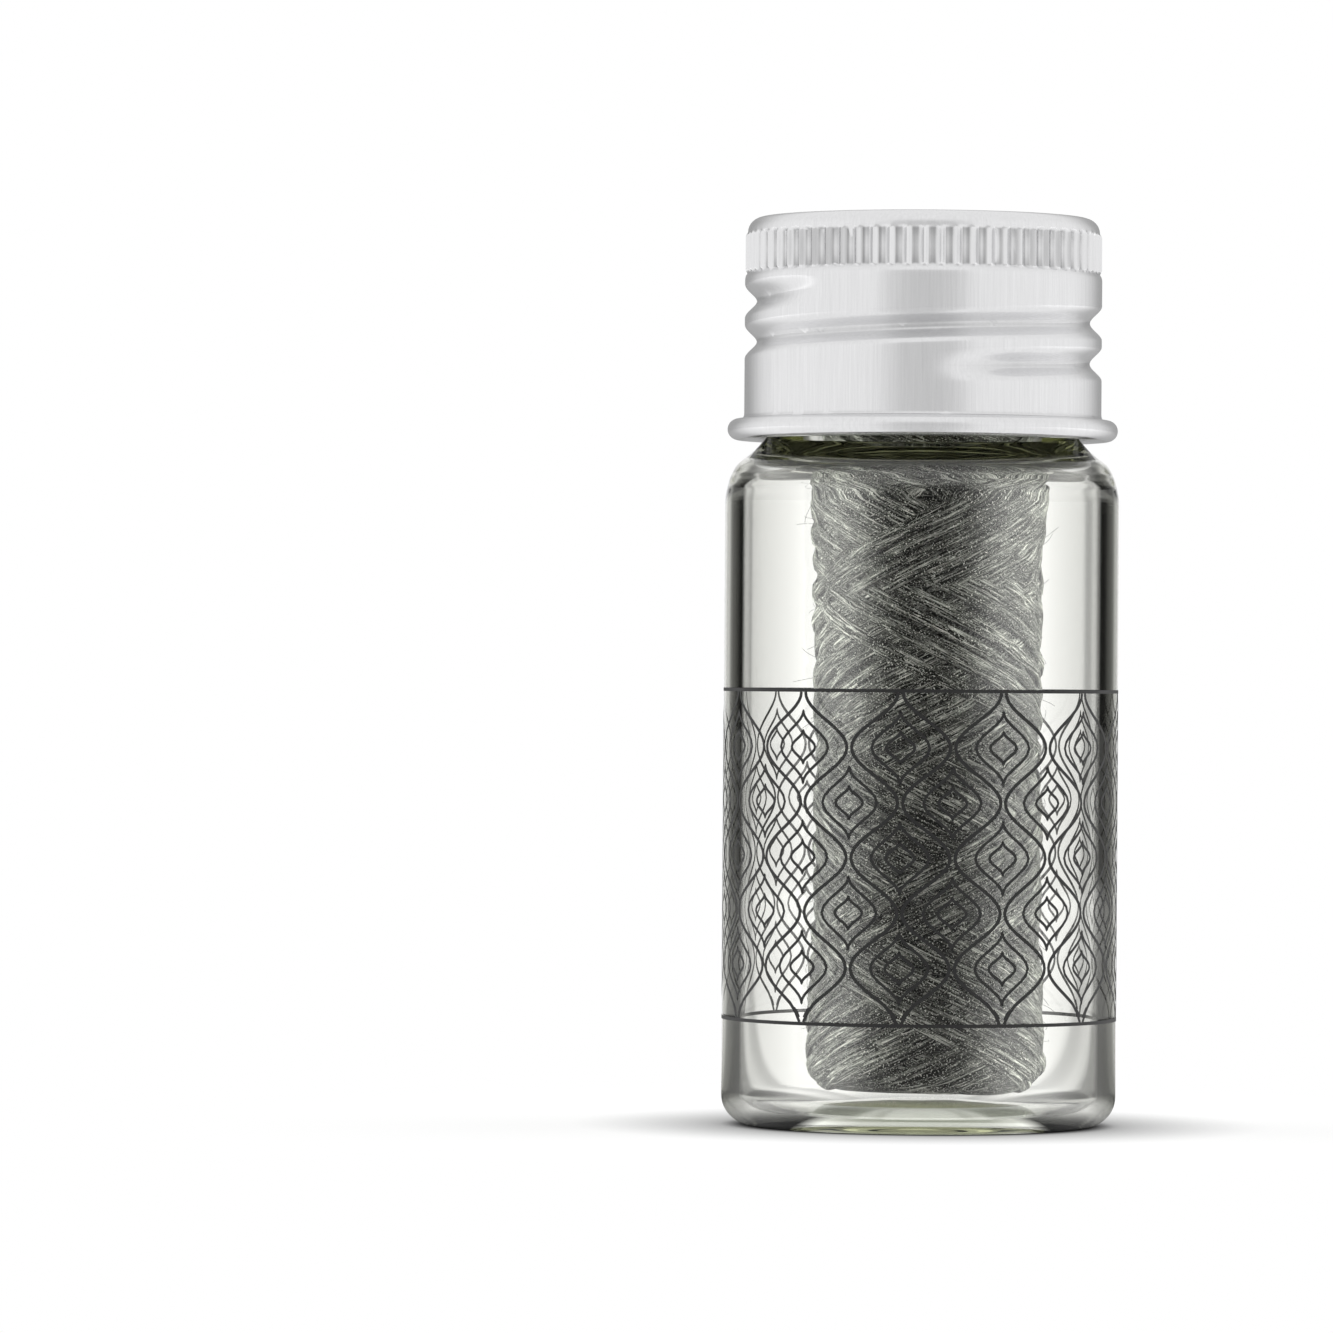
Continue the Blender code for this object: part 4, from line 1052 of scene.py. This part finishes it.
def strand_path(floss):
    """Middle line of the outer winding, its outward directions and the widths, all seeded."""
    random = np.random.default_rng(floss.seed)
    cycles = floss.cycles
    turns_per_cycle = 4 - 1 / cycles
    steps = round(cycles * turns_per_cycle * floss.points_per_turn)
    turns = np.arange(steps) / floss.points_per_turn
    cycle = np.minimum(np.floor(turns / turns_per_cycle), cycles - 1).astype(int)
    place = 2 * (turns / turns_per_cycle - cycle)
    rising = place < 1
    climb = np.where(rising, place, 2 - place)

    # The strand eases round at either end of the cop
    reach = 0.11 / (turns_per_cycle / 2)
    near_end = np.minimum(climb, 1 - climb)
    eased = np.where(near_end < reach, (near_end ** 2 / reach + reach) / 2, near_end)
    climb = np.where(climb < 0.5, eased, 1 - eased)

    outline = cop_meridian(floss, 0.0)
    run = distance_along(outline)
    total = run[-1]
    # Each pass turns back a little beyond the end or short of it
    beyond, short = -1.0 * MM, 0.9 * MM
    low_ends = random.uniform(beyond, short, cycles + 1) / total
    high_ends = random.uniform(beyond, short, cycles + 1) / total
    low = np.where(rising, low_ends[cycle], low_ends[cycle + 1])
    share = np.clip(low + (1 - high_ends[cycle] - low) * climb, 0, 1)

    # A later lay passes over the earlier one that it crosses
    fraction = turns % 1.0
    other_falling = cycles * ((-turns_per_cycle * climb / 2 - fraction) % 1.0) - 1
    other_rising = cycles * ((turns_per_cycle * climb / 2 - fraction) % 1.0)
    later = np.where(rising, cycle - other_falling - 1 + climb, cycle - other_rising + 1 - climb)
    over = np.convolve(np.pad(np.tanh(later / 1.2), 3, mode='edge'), np.ones(7) / 7, 'valid')
    sway, sunk, crossing = 0.09 * MM, 0.26 * MM, 0.15 * MM
    angles = turns * TURN + wander(random, turns, 0.9) * sway / floss.radius

    # Broad hollows and humps of the whole cop
    swell = np.zeros(steps)
    for _ in range(9):
        round_count, tall_count = random.integers(-4, 5), random.uniform(2, 20)
        swell += random.uniform(0.4, 1) * np.sin(round_count * angles + tall_count * TURN * share / 2
                                                 + random.uniform(0, TURN))
    swell *= 0.05 * MM
    # Lays bunch up every few millimetres, which makes the outline wavy
    for _ in range(6):
        round_count, tall_count = random.integers(-3, 4), random.uniform(14, 30)
        swell += 0.045 * MM * np.sin(round_count * angles + tall_count * TURN * share + random.uniform(0, TURN))

    radial, height, slope_r, slope_z = (np.interp(share * total, run, values) for values in (
        *outline.T, np.gradient(outline[:, 0], run), np.gradient(outline[:, 1], run)))
    size = np.hypot(slope_r, slope_z)
    out_r, out_z = slope_z / size, -slope_r / size
    depth = floss.strand_height / 2 + sunk - crossing * over - swell
    radial, height = radial - out_r * depth, height - out_z * depth
    width = floss.strand_width * (1 + 0.22 * wander(random, turns, 0.6))
    middles = np.stack([COP_X + radial * np.cos(angles), radial * np.sin(angles), height], 1)
    outward = np.stack([out_r * np.cos(angles), out_r * np.sin(angles), out_z], 1)
    return middles, outward, width


def cop_core(floss):
    """Solid of the inner turns with its bore, its UV map in millimetres round and up."""
    bore, inset = 2.2 * MM, 0.42 * MM
    outline = [tuple(point) for point in cop_meridian(floss, inset)]
    outline = [(bore, outline[0][1])] + outline + [(bore, outline[-1][1]), (bore, outline[0][1])]
    core = turn_piece("cop_core", outline, 96)
    places = coordinates(core)
    layer = core.data.uv_layers[0]
    layer.name = "lay"
    corners = np.empty(len(core.data.loops), int)
    core.data.loops.foreach_get("vertex_index", corners)
    radii, angles = polar(places)
    values = np.stack([angles * floss.radius / MM, (places[:, 2] + radii) / MM], 1)[corners]
    layer.data.foreach_set("uv", values.ravel())
    place_vertices(core, places + (COP_X, 0, 0))
    return core


class FLOSSJAR_OT_cop(bpy.types.Operator):
    """Winds the cop of floss: packed core and one crossing outer strand"""
    bl_idname = "floss_jar.cop"
    bl_label = "Floss Cop"

    def execute(self, context):
        floss = context.scene.floss_floss
        skin = charcoal_floss(floss)
        core = cop_core(floss)
        finish_piece(core, "spool", skin)
        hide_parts("floss_package")

        middles, outward, width = strand_path(floss)
        tangent = unit(np.gradient(middles, axis=0))
        across = unit(np.cross(tangent, outward))
        piece = lay_mesh("cop_winding", middles, across, np.cross(across, tangent), width,
                         np.full(len(width), floss.strand_height) * floss.strand_width / width)
        finish_piece(piece, "spool", skin, 80)
        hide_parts("floss_winding")
        self.add_fibres(floss, skin, middles, tangent, outward)
        return {'FINISHED'}

    def add_fibres(self, floss, skin, middles, tangent, outward):
        """Lets single fibres stand off the winding, each a thin curved thread that starts in a lay."""
        random = np.random.default_rng(floss.seed + 1)
        clear = 4 * floss.strand_width
        inside = np.flatnonzero((middles[:, 2] > COP_LOW.z + clear) & (middles[:, 2] < COP_HIGH.z - clear))
        drawn = []
        steps = np.linspace(0, 1, 9)[:, None]
        thickness = 0.035 * MM
        thin = np.full(len(steps), thickness)
        for start in random.choice(inside, floss.fibres):
            along = tangent[start] * random.choice((-1, 1)) + random.normal(0, 0.3, 3)
            reach = random.uniform(0.8, 2.2) * MM
            lift = random.uniform(0.1, 0.4) * MM
            curl = random.normal(0, 0.15, 3) * MM
            line = (middles[start] + outward[start] * floss.strand_height * 0.4 + along * reach * steps
                    + outward[start] * lift * np.sin(steps * math.pi * 0.75) + curl * steps ** 2)
            run = unit(np.gradient(line, axis=0))
            side = unit(np.cross(run, outward[start]))
            drawn.append(lay_mesh("fibre", line, side, np.cross(side, run), thin, thin, sides=3))
        piece = join(drawn)
        piece.name = "loose_fibres"
        finish_piece(piece, "spool", skin, 80)


class FLOSSJAR_OT_lead(bpy.types.Operator):
    """Leads the loose end from the cop's bore through the plug and down through the cutter's notch"""
    bl_idname = "floss_jar.lead"
    bl_label = "Floss End"

    def execute(self, context):
        thread, clear, notched = 0.25 * MM, 0.3 * MM, 0.375 * MM
        over_z = WELL_FLOOR_Z + PLATE_LIFT + STEEL + HOOK_RISE + 2 * thread + clear
        notch_x = HOOK_X + HOOK_REACH - notched
        under_z = WELL_FLOOR_Z + HOOK_RISE - STEEL
        places = np.array([
            (COP_X, 0, COP_HIGH.z - 7 * MM), (COP_X / 2, 0, COP_HIGH.z), (0, 0, WELL_FLOOR_Z - WELL_FLOOR),
            (0, 0, WELL_FLOOR_Z + 0.3 * MM), (HOOK_X / 4, 0, (WELL_FLOOR_Z + over_z) / 2), (HOOK_X, 0, over_z),
            (notch_x - thread, 0, over_z), (notch_x, 0, over_z - thread * 2), (notch_x + thread, 0, under_z),
            (POST_X, 0, under_z - thread * 2), (PLATE_END_X, thread * 4, under_z - thread * 2)])
        step = 0.08 * MM
        counts = [max(4, round(span / step)) for span in np.diff(distance_along(places))]
        middles = curve_through(np.vstack([places[0], places, places[-1]]), counts, 0.35)
        tangent = unit(np.gradient(middles, axis=0))
        side = unit(np.cross(tangent, (0, 1, 0)))
        other = np.cross(tangent, side)
        # Loosely twisted yarn, one turn in 3 mm, a little wider than it is thick
        twist = (distance_along(middles) / (3 * MM) * TURN)[:, None]
        across = side * np.cos(twist) + other * np.sin(twist)
        upright = -side * np.sin(twist) + other * np.cos(twist)
        piece = lay_mesh("floss_end", middles, across, upright, np.full(len(middles), 2 * thread),
                         np.full(len(middles), 1.35 * thread))
        finish_piece(piece, "jar", charcoal_floss(context.scene.floss_floss, "waxed_floss_end"), 80)
        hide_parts("floss_lead")
        return {'FINISHED'}


SETTINGS = {"floss_glass_jar": GlassJarSettings, "floss_printed_band": PrintedBandSettings,
            "floss_screw_cap": ScrewCapSettings, "floss_insert": InsertSettings, "floss_floss": FlossSettings,
            "floss_stage": StageSettings}
OPERATORS = (FLOSSJAR_OT_stage, FLOSSJAR_OT_glass_jar, FLOSSJAR_OT_printed_band, FLOSSJAR_OT_screw_cap,
             FLOSSJAR_OT_liner, FLOSSJAR_OT_guide_plug, FLOSSJAR_OT_cutter, FLOSSJAR_OT_cop, FLOSSJAR_OT_lead)


class FLOSSJAR_PT_pieces(bpy.types.Panel):
    """Lists the settings and the operators"""
    bl_label = "Floss Jar"
    bl_idname = "FLOSSJAR_PT_pieces"
    bl_space_type = 'VIEW_3D'
    bl_region_type = 'UI'
    bl_category = "Floss Jar"

    def draw(self, context):
        """Draws the panel."""
        for operator in OPERATORS:
            self.layout.operator(operator.bl_idname)
        for name in SETTINGS:
            settings = getattr(context.scene, name)
            box = self.layout.box()
            box.label(text=type(settings).__doc__)
            for key in settings.bl_rna.properties.keys():
                if key not in ("rna_type", "name"):
                    box.prop(settings, key)


CLASSES = (*SETTINGS.values(), *OPERATORS, FLOSSJAR_PT_pieces)


def register():
    """Registers the classes and hangs the settings on the scene."""
    for kind in CLASSES:
        bpy.utils.register_class(kind)
    for name, kind in SETTINGS.items():
        setattr(bpy.types.Scene, name, PointerProperty(type=kind))


def unregister():
    """Takes the settings and the classes away again."""
    for name in SETTINGS:
        delattr(bpy.types.Scene, name)
    for kind in reversed(CLASSES):
        bpy.utils.unregister_class(kind)


def main():
    """Builds the stage and every piece."""
    register()
    bpy.ops.floss_jar.stage()
    bpy.ops.floss_jar.glass_jar()
    bpy.ops.floss_jar.printed_band()
    bpy.ops.floss_jar.screw_cap()
    bpy.ops.floss_jar.liner()
    bpy.ops.floss_jar.guide_plug()
    bpy.ops.floss_jar.cutter()
    bpy.ops.floss_jar.cop()
    bpy.ops.floss_jar.lead()


if __name__ == "__main__":
    main()
